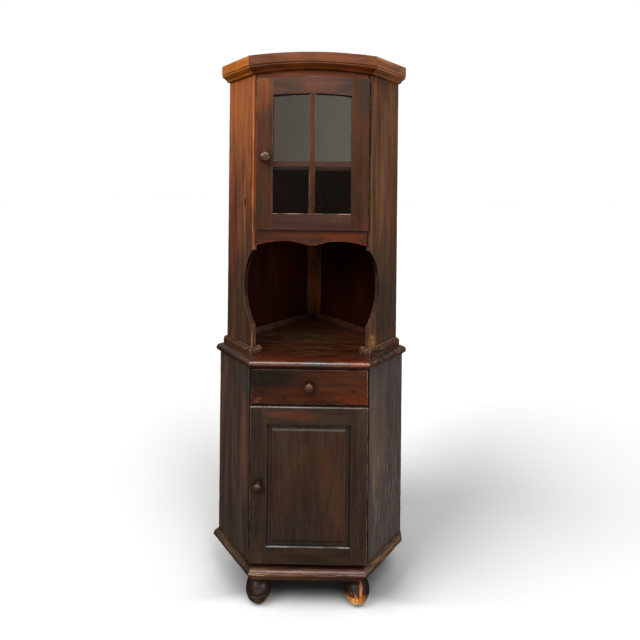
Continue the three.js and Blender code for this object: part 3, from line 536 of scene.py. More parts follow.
# painted shade: the dark band under the top rail and the dark line round the field; the rubbed colour on the field's
# top arris and slopes is a painted highlight, and wear is set high so that it runs unbroken
MAT["lower_panel"] = wood(
    "lower_panel_wood", Z, X, ("#1a120c", "#35251b", "#503828"), seed=44, ring=0.12, ring_w=0.010, cath=(0.03, 0.035, 0.05),
    streak=0.36, blotch=0.5, band=0.38, scuff=(0.2, "#8a6c54"), zones=(((0.03, -0.23, 0.50), (0.10, 0.1, 0.14), "#4a2c1c", 0.5),
                                   ((-0.03, -0.23, 0.27), (0.14, 0.1, 0.10), "#2a2220", 0.6),
                                   ((0.10, -0.23, 0.36), (0.04, 0.1, 0.12), "#4e3424", 0.6),
                                   ((0.0014, -0.236, 0.6215), (0.22, 0.03, 0.0055), "#120c08", 0.7)),
    wear=1.6, wear_and_highlight_col="#90846c", coat=0.35, coat_rough=0.20, bump=1.0, outline=(0.0014, 0.424, 0.1278, 0.1930, 0.0026, 0.85))

COUNTER = dict(ring=0.12, ring_w=0.012, cath=(0.0, 0.03, 0.06), streak=0.8, wear=0.35, wear_and_highlight_col="#a07a68", coat=0.6,
               coat_rough=0.18, dirt_and_shade=0.6, rough=(0.30, 0.50), spec=0.3)
# on the nose the bluish-grey and pinkish patches and the pale and grey-blue streaks are painted reflections and
# highlights; inside the niche the top is darker from dark stain and painted shade
MAT["counter"] = wood(
    "counter_wood", X, Y, ("#1a0c07", "#3c1a0f", "#602c18"), seed=51, blotch=0.8,
    zones=(((0.0, -0.215, 0.85), (0.32, 0.035, 0.03), "#561b0e", 0.6),
           ((-0.02, 0.02, 0.85), (0.22, 0.14, 0.03), "#2a1c10", 0.8),
           ((0.025, -0.240, 0.847), (0.055, 0.02, 0.016), "#33363e", 0.85),
           ((0.105, -0.240, 0.847), (0.040, 0.02, 0.016), "#6e4440", 0.5),
           ((0.175, -0.240, 0.845), (0.050, 0.02, 0.016), "#7a3214", 0.8),
           ((-0.135, -0.240, 0.845), (0.070, 0.02, 0.016), "#572c18", 0.9)),
    scratch=[(0.35, "#7a5236", 14.0, 120.0, [((0.02, -0.10, 0.85), (0.25, 0.14, 0.03))]),
             (0.20, "#a8786c", 8.0, 300.0, [((-0.06, -0.240, 0.846), (0.15, 0.02, 0.012))]),
             (0.30, "#6a727c", 4.0, 240.0, [((0.06, -0.240, 0.846), (0.08, 0.02, 0.012)),
                                                   ((-0.16, -0.240, 0.846), (0.05, 0.02, 0.012))])], **COUNTER)
MAT["counter_left"] = wood("counter_left_wood", TL, TR, ("#150d0b", "#33201a", "#5a3628"), seed=55, blotch=0.8, **COUNTER)
MAT["counter_right"] = wood("counter_right_wood", TR, TL, ("#24120b", "#4c2a1a", "#7e5436"), seed=56, blotch=0.8,
                            scratch=[(0.4, "#a08066", 60.0, 220.0, [((0.27, -0.17, 0.85), (0.13, 0.13, 0.03))])], **COUNTER)
PLINTH = dict(ring=0.12, ring_w=0.012, cath=(0.0, 0.03, 0.06), streak=1.0, coat=0.35, coat_rough=0.22, rough=(0.32, 0.55))
# the near-black band along the top under the lower door is a painted shadow; the cream streaks along the top of the
# nose are wear and a painted highlight
MAT["plinth"] = wood(
    "plinth_wood", X, Y, ("#1a0f0a", "#3c251a", "#60422e"), seed=52, blotch=0.8,
    zones=(((0.22, -0.26, 0.12), (0.10, 0.06, 0.05), "#3c1e1a", 0.75),
           ((-0.04, -0.258, 0.121), (0.26, 0.03, 0.0085), "#382a1a", 0.85),
           ((0.0, -0.233, 0.143), (0.40, 0.009, 0.02), "#040202", 0.85)),
    scratch=[(0.50, "#c8a898", 7.0, 330.0, [((-0.07, -0.254, 0.1345), (0.19, 0.02, 0.0065))]),
             (0.85, "#ecd2b4", 22.0, 380.0, [((-0.165, -0.254, 0.1345), (0.05, 0.02, 0.005))]),
             (0.55, "#b09088", 9.0, 300.0, [((0.13, -0.254, 0.1345), (0.08, 0.02, 0.005))]),
             (0.60, "#8a6e44", 12.0, 300.0, [((-0.03, -0.258, 0.123), (0.24, 0.03, 0.008))])],
    wear=0.6, wear_and_highlight_col="#b08c74", **PLINTH)
MAT["plinth_left"] = wood(
    "plinth_left_wood", TL, TR, ("#1a100b", "#35241a", "#5c4330"), seed=57, blotch=0.8,
    zones=(((-0.27, -0.17, 0.118), (0.2, 0.2, 0.012), "#2c241a", 0.8),),
    scratch=[(0.50, "#a88462", 34.0, 400.0, [((-0.275, -0.165, 0.1425), (0.12, 0.12, 0.014))])],
    wear=0.6, wear_and_highlight_col="#8a6a48", **PLINTH)
MAT["plinth_right"] = wood(
    "plinth_right_wood", TR, TL, ("#1c120c", "#3a291e", "#634c38"), seed=58, blotch=0.8,
    zones=(((0.27, -0.17, 0.118), (0.2, 0.2, 0.012), "#2c241a", 0.8),),
    scratch=[(0.58, "#ac8c5c", 30.0, 420.0, [((0.275, -0.165, 0.1425), (0.13, 0.13, 0.014))])],
    wear=0.6, wear_and_highlight_col="#8a6a48", **PLINTH)
MAT["waist_left"] = wood("waist_left_wood", TL, Z, ("#20110b", "#42261a", "#6a4028"), seed=53, ring=0.15, wear=0.7,
                         wear_and_highlight_col="#9a744e", coat=0.1,
                         scratch=[(0.45, "#a87c58", 80.0, 240.0, [((-0.24, -0.17, 0.86), (0.09, 0.09, 0.03))])])
MAT["waist_right"] = wood("waist_right_wood", TR, Z, ("#28140c", "#50301e", "#80563a"), seed=54, ring=0.15, wear=0.8,
                          wear_and_highlight_col="#b08c6c", coat=0.1,
                          scratch=[(0.45, "#b8947a", 80.0, 240.0, [((0.24, -0.17, 0.86), (0.09, 0.09, 0.03))])])
# the lighter cove along the bottom is stain and painted light, as the cove faces down into its own shade
MAT["cornice_front"] = wood(
    "cornice_front_wood", X, Z, ("#502c20", "#7a4734", "#9c6248"), seed=61, ring=0.25, ring_w=0.008, cath=(1.9, 0.05, 0.05),
    streak=0.8, blotch=0.4, zones=(((-0.145, -0.24, 1.866), (0.08, 0.2, 0.011), "#c06a38", 0.85),
                                   ((-0.04, -0.24, 1.876), (0.09, 0.2, 0.010), "#b4752c", 0.85),
                                   ((0.06, -0.24, 1.876), (0.08, 0.2, 0.010), "#a85c2c", 0.85),
                                   ((0.15, -0.24, 1.867), (0.08, 0.2, 0.011), "#b0582c", 0.85)), wear=0.45, wear_and_highlight_col="#b0785a", dirt_and_shade=0.65, dirt_and_shade_reach=0.012,
    streak_f=(5.0, 200.0), spec=0.15)
# brighter and warmer than the right-hand return: partly stain, partly painted warm light from the upper left
MAT["cornice_left"] = wood(
    "cornice_left_wood", TL, Z, ("#6a3c1c", "#a4642c", "#c88848"), seed=62, ring=0.25, ring_w=0.008, cath=(1.9, 0.05, 0.05),
    streak=0.8, blotch=0.4, zones=(((-0.30, -0.12, 1.89), (0.3, 0.3, 0.022), "#8a5634", 0.85),),
    wear=0.45, wear_and_highlight_col="#c89060", dirt_and_shade=0.65, dirt_and_shade_reach=0.012,
    streak_f=(5.0, 200.0), spec=0.15)
MAT["cornice_right"] = wood(
    "cornice_right_wood", TR, Z, ("#40281c", "#6a4834", "#8a644c"), seed=63, ring=0.25, ring_w=0.008, cath=(1.9, 0.05, 0.05),
    streak=0.9, blotch=0.45, wear=0.45, wear_and_highlight_col="#a8846a", dirt_and_shade=0.65, dirt_and_shade_reach=0.012,
    streak_f=(5.0, 200.0), spec=0.15)
MAT["knob"] = wood("knob_wood", Y, X, ("#1a0d07", "#3a2216", "#5c3c2a"), seed=71, ring=0.3, ring_w=0.004, streak=0.6,
                   wear=0.25, wear_and_highlight_col="#6e503c", coat=0.5, coat_rough=0.15, rough=(0.38, 0.54), dirt_and_shade=0.9, dirt_and_shade_reach=0.012,
                   scuff=None, mottle=0.3, spec=0.15)
# on the right foot the cream at the bottom of the bare patch is bare wood painted lighter, as painted light on an
# underside the lamps hardly reach
MAT["foot"] = wood(
    "foot_wood", Z, X, ("#0f0806", "#21120c", "#38241a"), seed=72, ring=0.3, ring_w=0.007, streak=0.8,
    wear=0.55, wear_and_highlight_col="#7a5e48", coat=0.13, coat_rough=0.18, rough=(0.36, 0.52), dirt_and_shade=0.5, dirt_and_shade_reach=0.012, ragged=(7.0, 1.9),
    zones=(((-0.173, -0.197, 0.010), (0.07, 0.07, 0.026), "#84664e", 0.75),
           ((0.163, -0.236, 0.018), (0.050, 0.05, 0.034), "#ffa348", 1.0),
           ((0.186, -0.236, 0.060), (0.0058, 0.04, 0.046), "#b86c2a", 0.9),
           ((0.168, -0.230, 0.008), (0.060, 0.08, 0.0235), "#fffad0", 1.0)),
    scratch=[(0.9, "#fff0b4", 60.0, 170.0, [((0.168, -0.236, 0.014), (0.038, 0.03, 0.022))]),
             (0.85, "#2a140a", 50.0, 190.0, [((0.178, -0.236, 0.046), (0.030, 0.03, 0.030))])])
MAT["pine"] = wood("pine_wood", Y, Z, ("#8a6a44", "#a98a60", "#c2a47a"), seed=81, ring=0.35, ring_w=0.007,
                   cath=(0.7, 0.03, 0.03), streak=0.4, blotch=0.3, wear=0.1, wear_and_highlight_col="#d0b48a", rough=(0.6, 0.75), spec=0.2)
MAT["pine_across"] = wood("pine_across_wood", X, Y, ("#8a6a44", "#a98a60", "#c2a47a"), seed=82, ring=0.35, ring_w=0.009,
                          cath=(0.0, 0.03, 0.05), streak=0.4, blotch=0.3, wear=0.1, wear_and_highlight_col="#d0b48a", rough=(0.6, 0.75),
                          spec=0.2)


def aged_brass():
    m, g = material("aged_brass")
    P = g.node("ShaderNodeTexCoord").outputs["Object"]
    n1 = g.noise(P, 120.0, 4.0, 0.6)
    n2 = g.noise(P, 900.0, 2.0, 0.5)
    col = g.ramp(n1, [(0.3, lin("#1e160e")), (0.5, lin("#3a2c1a")), (0.75, lin("#6a5430"))])
    col = g.mix(g.smooth(g.ao(0.004, samples=4), 0.9, 0.4), col, lin("#1c140c"))
    p = g.node("ShaderNodeBsdfPrincipled")
    p.inputs["Metallic"].default_value = 0.9
    g.put(p.inputs["Base Color"], col)
    g.put(p.inputs["Roughness"], g.madd(n1, 0.35, 0.22))
    b = g.node("ShaderNodeBump")
    b.inputs["Strength"].default_value = 0.3
    b.inputs["Distance"].default_value = 0.0002
    g.put(b.inputs["Height"], n2)
    g.put(p.inputs["Normal"], b.outputs[0])
    g.links.new(p.outputs[0], g.node("ShaderNodeOutputMaterial").inputs[0])
    return m


def window_glass():
    m, g = material("window_glass")
    P = g.node("ShaderNodeTexCoord").outputs["Object"]
    p = g.node("ShaderNodeBsdfPrincipled")
    p.inputs["Transmission Weight"].default_value = 1.0
    p.inputs["IOR"].default_value = 1.50
    old = g.noise(g.vec("MULTIPLY", P, (1.0, 1.0, 0.4)), 14.0, 3.0, 0.5)
    g.put(p.inputs["Base Color"], g.ramp(old, [(0.35, (0.86, 0.90, 0.85, 1)), (0.65, (0.95, 0.96, 0.94, 1))]))
    g.put(p.inputs["Roughness"], g.smooth(old, 0.45, 0.75, 0.0, 0.004))
    clear = g.node("ShaderNodeBsdfTransparent")
    path = g.node("ShaderNodeLightPath")
    mx = g.node("ShaderNodeMixShader")
    g.put(mx.inputs[0], path.outputs["Is Shadow Ray"])
    g.links.new(p.outputs[0], mx.inputs[1])
    g.links.new(clear.outputs[0], mx.inputs[2])
    g.links.new(mx.outputs[0], g.node("ShaderNodeOutputMaterial").inputs[0])
    return m


def old_putty():
    m, g = material("old_putty")
    P = g.node("ShaderNodeTexCoord").outputs["Object"]
    n1 = g.noise(P, 60.0, 4.0, 0.6)
    n2 = g.noise(P, 400.0, 2.0, 0.5)
    p = g.node("ShaderNodeBsdfPrincipled")
    g.put(p.inputs["Base Color"], g.ramp(n1, [(0.3, lin("#1c120c")), (0.6, lin("#2e2018")), (0.8, lin("#463426"))]))
    g.put(p.inputs["Roughness"], g.madd(n1, 0.25, 0.68))
    p.inputs["Specular IOR Level"].default_value = 0.12
    b = g.node("ShaderNodeBump")
    b.inputs["Strength"].default_value = 0.5
    b.inputs["Distance"].default_value = 0.0006
    g.put(b.inputs["Height"], n2)
    g.put(p.inputs["Normal"], b.outputs[0])
    g.links.new(p.outputs[0], g.node("ShaderNodeOutputMaterial").inputs[0])
    return m


MAT["brass"] = aged_brass()
MAT["glass"] = window_glass()
MAT["putty"] = old_putty()


# ----------------------------------------------------------------------------------------------- pieces
def link(name, bm, mat, smooth=True):
    me = bpy.data.meshes.new(name)
    bm.to_mesh(me)
    bm.free()
    me.materials.append(mat)
    me.polygons.foreach_set("use_smooth", [smooth] * len(me.polygons))
    ob = bpy.data.objects.new(name, me)
    bpy.context.scene.collection.objects.link(ob)
    return ob


def body_of(node):
    return NODES[node]["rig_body"]


def meets(p, boxes, gap=0.0005):
    return any(all(lo[i] - gap <= p[i] <= hi[i] + gap for i in range(3)) for lo, hi in boxes)


def worked(node, name, mat, edge=0.0012, segments=2, angle=38, step=0.016, wear=0.0006, seed=1, sharp=42, joins=(),
           mitres=None, cut_mat=None, front=None, weight=None, slopes=None, bare=None):
    """A finished piece in a CAD node's exact place: its arrises eased, unevenly worn along their length.
    mitres = (corner half width, corner depth, line, left material, right material): the parts of a five-sided
    board that lie outside line have their grain along the returns. cut_mat goes on the sawn edge of the niche's scoop.
    front is a wider rounding for the arrises of the front face; weight(point) says how strongly an arris takes the
    rubbed colour there, and slopes(point, normal) the same of any face: on the lower door and the upper door's bottom
    rail this rubbed colour is a painted highlight as well as wear. bare = (material, direction): the faces that look
    that way are unstained."""
    bm = bmesh.new()
    bm.from_mesh(NODES[node].data)
    bmesh.ops.remove_doubles(bm, verts=bm.verts, dist=2e-5)
    bmesh.ops.dissolve_limit(bm, angle_limit=math.radians(0.6), verts=bm.verts, edges=bm.edges)
    if mitres:
        mx_, my_, line = mitres[:3]
        for side in (-1, 1):
            for co, no in ((Vector((side * mx_ + 0.0014, my_, 0)), Vector((side * 0.9239, 0.3827, 0))),
                           (Vector((side * line + 0.0014, -0.2163, 0)), Vector((side * S, -S, 0)))):
                bmesh.ops.bisect_plane(bm, geom=bm.verts[:] + bm.edges[:] + bm.faces[:], dist=1e-6, plane_co=co, plane_no=no)
    bm.normal_update()
    lo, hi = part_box(node)
    if edge:
        lim = math.radians(angle)
        for _ in range(7):
            longs = [e for e in bm.edges if e.calc_length() > step * 2 and len(e.link_faces) == 2
                     and e.calc_face_angle(0) > math.radians(3)]
            if not longs:
                break
            bmesh.ops.subdivide_edges(bm, edges=longs, cuts=1, use_grid_fill=False)
        bm.normal_update()
        boxes = [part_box(j) for j in joins]
        layer = bm.faces.layers.float.new("arris")

        def ease(size, steps, chosen):
            hard = [e for e in bm.edges if len(e.link_faces) == 2 and e.calc_face_angle(0) > lim and e.calc_length() > 1e-5
                    and e.is_convex and not meets((e.verts[0].co + e.verts[1].co) / 2, boxes) and chosen(e)]
            made = bmesh.ops.bevel(bm, geom=hard, offset=size, offset_type="OFFSET", segments=steps, profile=0.5,
                                   affect="EDGES", clamp_overlap=True, material=-1)
            for f in made["faces"]:
                if f.is_valid:
                    f[layer] = weight(f.calc_center_median()) if weight else 1.0
            bm.normal_update()

        if front:
            ease(front, 4, lambda e: max(v.co.y for v in e.verts) < lo[1] + 0.0002)
        ease(edge, segments, lambda e: not front or min(v.co.y for v in e.verts) > lo[1] + front + 0.0002)
        if slopes:
            for f in bm.faces:
                f[layer] = max(f[layer], slopes(f.calc_center_median(), f.normal))
    if wear:
        bm.normal_update()
        rnd = Vector((seed * 3.1, seed * 1.7, seed * 0.9))
        for v in bm.verts:
            spread = max((e.calc_face_angle(0) for e in v.link_edges if len(e.link_faces) == 2), default=0)
            if spread > math.radians(12):
                n = noise.noise(v.co * 26 + rnd) + 0.5 * noise.noise(v.co * 95 + rnd)
                v.co -= v.normal * max(0.0, n + 0.05) * wear
    for v in bm.verts:      # never outside the node's own box
        v.co = Vector(min(max(v.co[i], lo[i]), hi[i]) for i in range(3))
    bmesh.ops.triangulate(bm, faces=[f for f in bm.faces if len(f.verts) > 4], quad_method="BEAUTY", ngon_method="BEAUTY")
    bm.normal_update()
    for e in bm.edges:
        e.smooth = len(e.link_faces) == 2 and e.calc_face_angle(0) < math.radians(sharp)
    if cut_mat:
        side = 1 if hi[0] > 0 and lo[0] > 0 else -1
        face_no = Vector((side * S, -S, 0))
        for f in bm.faces:
            c = f.calc_center_median()
            if abs(f.normal.dot(face_no)) < 0.35 and 0.95 < c.z < 1.222 and abs(f.normal.z) < 0.999:
                f.material_index = 1
    if mitres:
        for f in bm.faces:
            c = f.calc_center_median()
            for k, side in ((1, -1), (2, 1)):
                out = (c - Vector((side * mx_ + 0.0014, my_, 0))).dot(Vector((side * 0.9239, 0.3827, 0)))
                away = (c - Vector((side * line + 0.0014, -0.2163, 0))).dot(Vector((side * S, -S, 0)))
                if out > 0 and away > -1e-5:
                    f.material_index = k
    if bare:
        for f in bm.faces:
            if f.normal.dot(Vector(bare[1])) > 0.8:
                f.material_index = 1
    ob = link(name, bm, mat)
    if bare:
        ob.data.materials.append(bare[0])
    if cut_mat:
        ob.data.materials.append(cut_mat)
    if mitres:
        ob.data.materials.append(mitres[3])
        ob.data.materials.append(mitres[4])
    wn = ob.modifiers.new("weighted", "WEIGHTED_NORMAL")
    wn.mode = "FACE_AREA"
    wn.weight = 60
    wn.keep_sharp = True
    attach(ob, body_of(node))
    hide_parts(node)
    return ob


BOARDS = {
    # node: (material, slot, arris, wear)
    "upper_side_left": ("upper_side_left", "stained_side_warm", 0.0022, 0.0008),
    "upper_side_right": ("upper_side_right", "stained_side", 0.0022, 0.0008),
    "lower_side_left": ("lower_side_left", "stained_side", 0.0014, 0.0008),
    "lower_side_right": ("lower_side_right", "stained_side", 0.0014, 0.0008),
    "upper_back_left": ("inside", "stained_inside", 0.0006, 0.0),
    "upper_back_right": ("inside", "stained_inside", 0.0006, 0.0),
    "lower_back_left": ("inside", "stained_inside", 0.0006, 0.0),
    "lower_back_right": ("inside", "stained_inside", 0.0006, 0.0),
    "upper_corner_post": ("corner_post", "stained_inside", 0.0010, 0.0004),
    "lower_corner_post": ("corner_post", "stained_inside", 0.0010, 0.0004),
    "niche_batten_left": ("batten", "stained_inside", 0.0012, 0.0005),
    "niche_batten_right": ("batten_right", "stained_inside", 0.0012, 0.0005),
    "lower_shelf": ("inside_flat", "stained_inside", 0.0010, 0.0004),
    "drawer_divider": ("inside_flat", "stained_inside", 0.0010, 0.0004),
    "drawer_guide_left": ("inside_flat", "stained_inside", 0.0008, 0.0),
    "drawer_guide_right": ("inside_flat", "stained_inside", 0.0008, 0.0),
    "cabinet_floor": ("inside_flat", "stained_inside", 0.0010, 0.0004),
    "glazed_shelf": ("inside_flat", "stained_inside", 0.0012, 0.0004),
    "top_board": ("inside_flat", "stained_inside", 0.0010, 0.0),
    "apron_rail": ("apron", "stained_rail", 0.0014, 0.0006),
    "arch_rail": ("arch_rail", "stained_rail", 0.0010, 0.0004),
    "cornice_front": ("cornice_front", "cornice", 0.0, 0.0006),
    "cornice_left": ("cornice_left", "cornice", 0.0, 0.0006),
    "cornice_right": ("cornice_right", "cornice", 0.0, 0.0006),
    "waist_moulding_left": ("waist_left", "stained_top", 0.0006, 0.0006),
    "waist_moulding_right": ("waist_right", "stained_top", 0.0006, 0.0006),
    "counter_top": ("counter", "stained_top", 0.0010, 0.0008),
    "plinth_board": ("plinth", "stained_top", 0.0010, 0.0016),
    "upper_door_stile_left": ("upper_stile", "stained_front", 0.0014, 0.0006),
    "upper_door_stile_right": ("upper_stile", "stained_front", 0.0014, 0.0006),
    "upper_door_rail_top": ("upper_rail", "stained_front", 0.0014, 0.0006),
    "upper_door_rail_bottom": ("upper_rail", "stained_front", 0.0014, 0.0006),
    "glazing_bar_vertical": ("bar_v", "stained_front", 0.0012, 0.0005),
    "glazing_bar_horizontal": ("bar_h", "stained_front", 0.0012, 0.0005),
    "lower_door_stile_left": ("lower_stile", "stained_front", 0.0010, 0.0005),
    "lower_door_stile_right": ("lower_stile", "stained_front", 0.0010, 0.0005),
    "lower_door_rail_top": ("lower_rail", "stained_front", 0.0010, 0.0005),
    "lower_door_rail_bottom": ("lower_rail", "stained_front", 0.0010, 0.0005),
    "lower_door_panel": ("lower_panel", "stained_front", 0.0014, 0.0004),
    "drawer_front": ("drawer_front", "stained_drawer", 0.0016, 0.0006),
    "drawer_side_left": ("pine", "bare_pine", 0.0010, 0.0004),
    "drawer_side_right": ("pine", "bare_pine", 0.0010, 0.0004),
    "drawer_bottom": ("pine_across", "bare_pine", 0.0006, 0.0),
    "drawer_back": ("pine_across", "bare_pine", 0.0010, 0.0004),
}
MITRES = {
    "counter_top": (0.20866, -0.2423, 0.169, "counter_left", "counter_right"),
    "plinth_board": (0.20031, -0.2563, 0.2092, "plinth_left", "plinth_right"),
}
JOINS = {
    "upper_door_stile_left": ("upper_door_rail_top", "upper_door_rail_bottom"),
    "upper_door_stile_right": ("upper_door_rail_top", "upper_door_rail_bottom", "upper_hinge_bottom_door_leaf",
                               "upper_hinge_top_door_leaf"),
    "upper_door_rail_top": ("upper_door_stile_left", "upper_door_stile_right", "glazing_bar_vertical"),
    "upper_door_rail_bottom": ("upper_door_stile_left", "upper_door_stile_right", "glazing_bar_vertical"),
    "glazing_bar_vertical": ("upper_door_rail_top", "upper_door_rail_bottom", "glazing_bar_horizontal"),
    "glazing_bar_horizontal": ("upper_door_stile_left", "upper_door_stile_right", "glazing_bar_vertical"),
    "lower_door_stile_left": ("lower_door_rail_top", "lower_door_rail_bottom"),
    "lower_door_stile_right": ("lower_door_rail_top", "lower_door_rail_bottom", "lower_hinge_bottom_door_leaf",
                               "lower_hinge_top_door_leaf"),
    "lower_door_rail_top": ("lower_door_stile_left", "lower_door_stile_right"),
    "lower_door_rail_bottom": ("lower_door_stile_left", "lower_door_stile_right"),
    "upper_side_right": ("upper_hinge_bottom_fixed_leaf", "upper_hinge_top_fixed_leaf"),
    "lower_side_right": ("lower_hinge_bottom_fixed_leaf", "lower_hinge_top_fixed_leaf"),
}
FRONT = {"lower_door_stile_left": 0.0032, "lower_door_stile_right": 0.0032, "lower_door_rail_top": 0.0032,
         "lower_door_rail_bottom": 0.0032, "drawer_front": 0.0024, "upper_door_stile_left": 0.0020,
         "upper_door_stile_right": 0.0020, "upper_door_rail_bottom": 0.0020, "upper_door_rail_top": 0.0020}
# how strongly each arris takes the rubbed colour; on the lower door's frame and panel and on the inner top arris of the
# upper door's bottom rail it is a painted highlight as well as wear
WEIGHT = {
    "lower_door_stile_right": lambda c: 0.45 if c.x > 0.198 or c.z > 0.687 else 0.08,
    "lower_door_stile_left": lambda c: 0.7 if c.z > 0.687 else (0.35 if c.x < -0.196 else 0.08),
    "lower_door_rail_top": lambda c: (0.48 if c.x < 0.02 else 0.26) if c.z > 0.687 else 0.05,
    "lower_door_rail_bottom": lambda c: (0.56 if c.x < -0.07 or c.x > 0.11 else 0.26) if c.z > 0.2 else 0.10,
    "lower_door_panel": lambda c: 0.44 if c.z > 0.605 and c.y < -0.234 else 0.06,
    "upper_side_left": lambda c: 0.06 if 0.93 < c.z < 1.28 else 0.8,
    "upper_side_right": lambda c: 0.06 if 0.93 < c.z < 1.28 else 0.8,
    "upper_door_rail_bottom": lambda c: 1.0 if c.z > 1.338 else 0.25,
    "glazing_bar_horizontal": lambda c: 0.3,
    "upper_door_stile_right": lambda c: 1.0 if c.x > 0.198 else 0.3,
    "upper_door_stile_left": lambda c: 0.3,
    "upper_door_rail_top": lambda c: 0.3,
    "drawer_front": lambda c: 0.7 if c.x > 0.19 else (0.5 if c.z < 0.71 else 0.28),
}
# painted highlight on the sloping faces of the lower door panel's raised field
SLOPES = {"lower_door_panel": lambda c, n: 0.0 if n.y > -0.3 or n.y < -0.9 else
          (0.05 if n.z > 0.55 else (0.12 if abs(n.x) > 0.55 else 0.04))}
BARE = {"upper_back_left": ("wall_left", (-S, S, 0)), "lower_back_left": ("wall_left", (-S, S, 0)),
        "upper_back_right": ("wall_right", (S, S, 0)), "lower_back_right": ("wall_right", (S, S, 0)),
        "top_board": ("dusty", (0, 0, 1))}
for i, (node, (mat, slot, arris, wear)) in enumerate(BOARDS.items()):
    m = MITRES.get(node)
    worked(node, node + "_finished", MAT[mat], edge=arris, wear=wear, seed=i + 1,
           joins=JOINS.get(node, ()), mitres=m and (*m[:3], MAT[m[3]], MAT[m[4]]),
           cut_mat=MAT["sawn_edge"] if node in ("upper_side_left", "upper_side_right") else None,
           front=FRONT.get(node), weight=WEIGHT.get(node), slopes=SLOPES.get(node),
           bare=(MAT[BARE[node][0]], BARE[node][1]) if node in BARE else None)


# ---- turned pieces
def curve(points, per=6):
    """A smooth line through (radius, height, corner) points; it turns sharply where corner is true."""
    out, run = [], []
    for p in points:
        run.append(p[:2])
        if len(p) > 2 and p[2] or p is points[-1]:
            out += smooth_run(run, per)[(1 if out else 0):]
            run = [p[:2]]
    return out


def smooth_run(pts, per):
    if len(pts) < 3:
        return pts
    out = []
    n = len(pts)
    for i in range(n - 1):
        p0, p1, p2, p3 = pts[max(i - 1, 0)], pts[i], pts[i + 1], pts[min(i + 2, n - 1)]
        for k in range(per):
            t = k / per
            out.append(tuple(0.5 * (2 * p1[j] + (p2[j] - p0[j]) * t + (2 * p0[j] - 5 * p1[j] + 4 * p2[j] - p3[j]) * t * t
                                    + (3 * p1[j] - p0[j] - 3 * p2[j] + p3[j]) * t ** 3) for j in (0, 1)))
    out.append(pts[-1])
    return out


def lathe(name, profile, segments, place, mat, node, worn=None, dent=0.0, seed=0):
    """A turned piece: profile of (radius, height), closed on the axis at both ends. worn(radius, height, angle) is
    how far the finish is rubbed off there; along the feet's turned line it also paints a highlight."""
    bm = bmesh.new()
    layer = bm.faces.layers.float.new("arris")
    rings = []
    for r, h in profile:
        if r < 1e-6:
            rings.append([bm.verts.new((0, 0, h))])
        else:
            rings.append([bm.verts.new((r * math.cos(a), r * math.sin(a), h))
                          for a in (2 * math.pi * k / segments for k in range(segments))])
    for a, b in zip(rings, rings[1:]):
        for k in range(segments):
            j = (k + 1) % segments
            if len(a) == 1:
                f = bm.faces.new((a[0], b[j], b[k]))
            elif len(b) == 1:
                f = bm.faces.new((a[k], a[j], b[0]))
            else:
                f = bm.faces.new((a[k], a[j], b[j], b[k]))
            c = f.calc_center_median()
            if worn:
                f[layer] = worn(math.hypot(c.x, c.y), c.z, math.atan2(c.y, c.x))
    bmesh.ops.recalc_face_normals(bm, faces=bm.faces)
    bm.transform(place)
    if dent:
        rnd = Vector((seed * 2.3, seed * 5.1, seed * 1.3))
        bm.normal_update()
        for v in bm.verts:
            n = noise.noise(v.co * 60 + rnd)
            v.co -= v.normal * max(0.0, n - 0.15) * dent
    lo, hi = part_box(node)
    for v in bm.verts:
        v.co = Vector(min(max(v.co[i], lo[i]), hi[i]) for i in range(3))
    bm.normal_update()
    for e in bm.edges:
        e.smooth = len(e.link_faces) == 2 and e.calc_face_angle(0) < math.radians(50)
    ob = link(name, bm, mat)
    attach(ob, body_of(node))
    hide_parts(node)
    return ob


BALL, GIRTH = 0.0445, 0.040


def ball(deg):
    a = math.radians(deg)
    return (BALL * math.cos(a), GIRTH + BALL * math.sin(a))


FOOT = ([(0.0, 0.0), (0.0180, 0.0)] + [ball(d) for d in (-63.0, -60, -56, -50, -44, -38, -32, -26, -20, -14, -9, -5, -2)]
        + [(0.0442, 0.0401), (0.0434, 0.0406), (0.0424, 0.0414), (0.0423, 0.0419), (0.0431, 0.0427), (0.0441, 0.0434)]
        + [ball(d) for d in (6, 9, 14, 20, 27, 34, 41, 48, 55, 61, 65)]
        + [(0.0180, 0.0838), (0.0168, 0.0865), (0.0166, 0.0900), (0.0168, 0.0985), (0.0178, 0.1015), (0.0205, 0.1045),
           (0.0250, 0.1066), (0.0275, 0.1080), (0.0280, 0.1096), (0.0280, 0.1130), (0.0, 0.1130)])


# rubbed finish on the feet: worn at the bottom and below the girth; along the turned line's lip it is a painted
# highlight as well as wear
def foot_wear_and_highlight(r, z, a, base=0.8):
    lip = max(0.0, 1.0 - abs(z - 0.0395) / 0.0022) * 0.2 + max(0.0, 1.0 - abs(z - 0.0445) / 0.0016) * 0.1
    base = max(0.0, 1.0 - z / 0.012) * base
    return min(1.0, max(lip, base, 0.35 if z < 0.036 else 0.06))


for k, node in enumerate(("foot_front_left", "foot_front_right", "foot_rear")):
    lo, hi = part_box(node)
    lathe(node + "_turned", FOOT, 72, Matrix.Translation(((lo[0] + hi[0]) / 2, (lo[1] + hi[1]) / 2, 0)), MAT["foot"],
          node, worn=(lambda r, z, a: foot_wear_and_highlight(r, z, a, 0.0)) if k == 1 else foot_wear_and_highlight, dent=0.0010, seed=k)

KNOB = [(0.0, 0.0), (0.0086, 0.0, True), (0.0084, 0.0014), (0.0074, 0.0046), (0.0070, 0.0085), (0.0078, 0.0122),
        (0.0106, 0.0140), (0.0142, 0.0160), (0.0164, 0.0188), (0.0170, 0.0212), (0.0165, 0.0240), (0.0148, 0.0268),
        (0.0118, 0.0290), (0.0075, 0.0303), (0.0032, 0.0309), (0.0, 0.0310)]


def knob_worn(r, z, a):
    return 0.35 if z > 0.024 else (0.25 if z > 0.016 else 0.0)


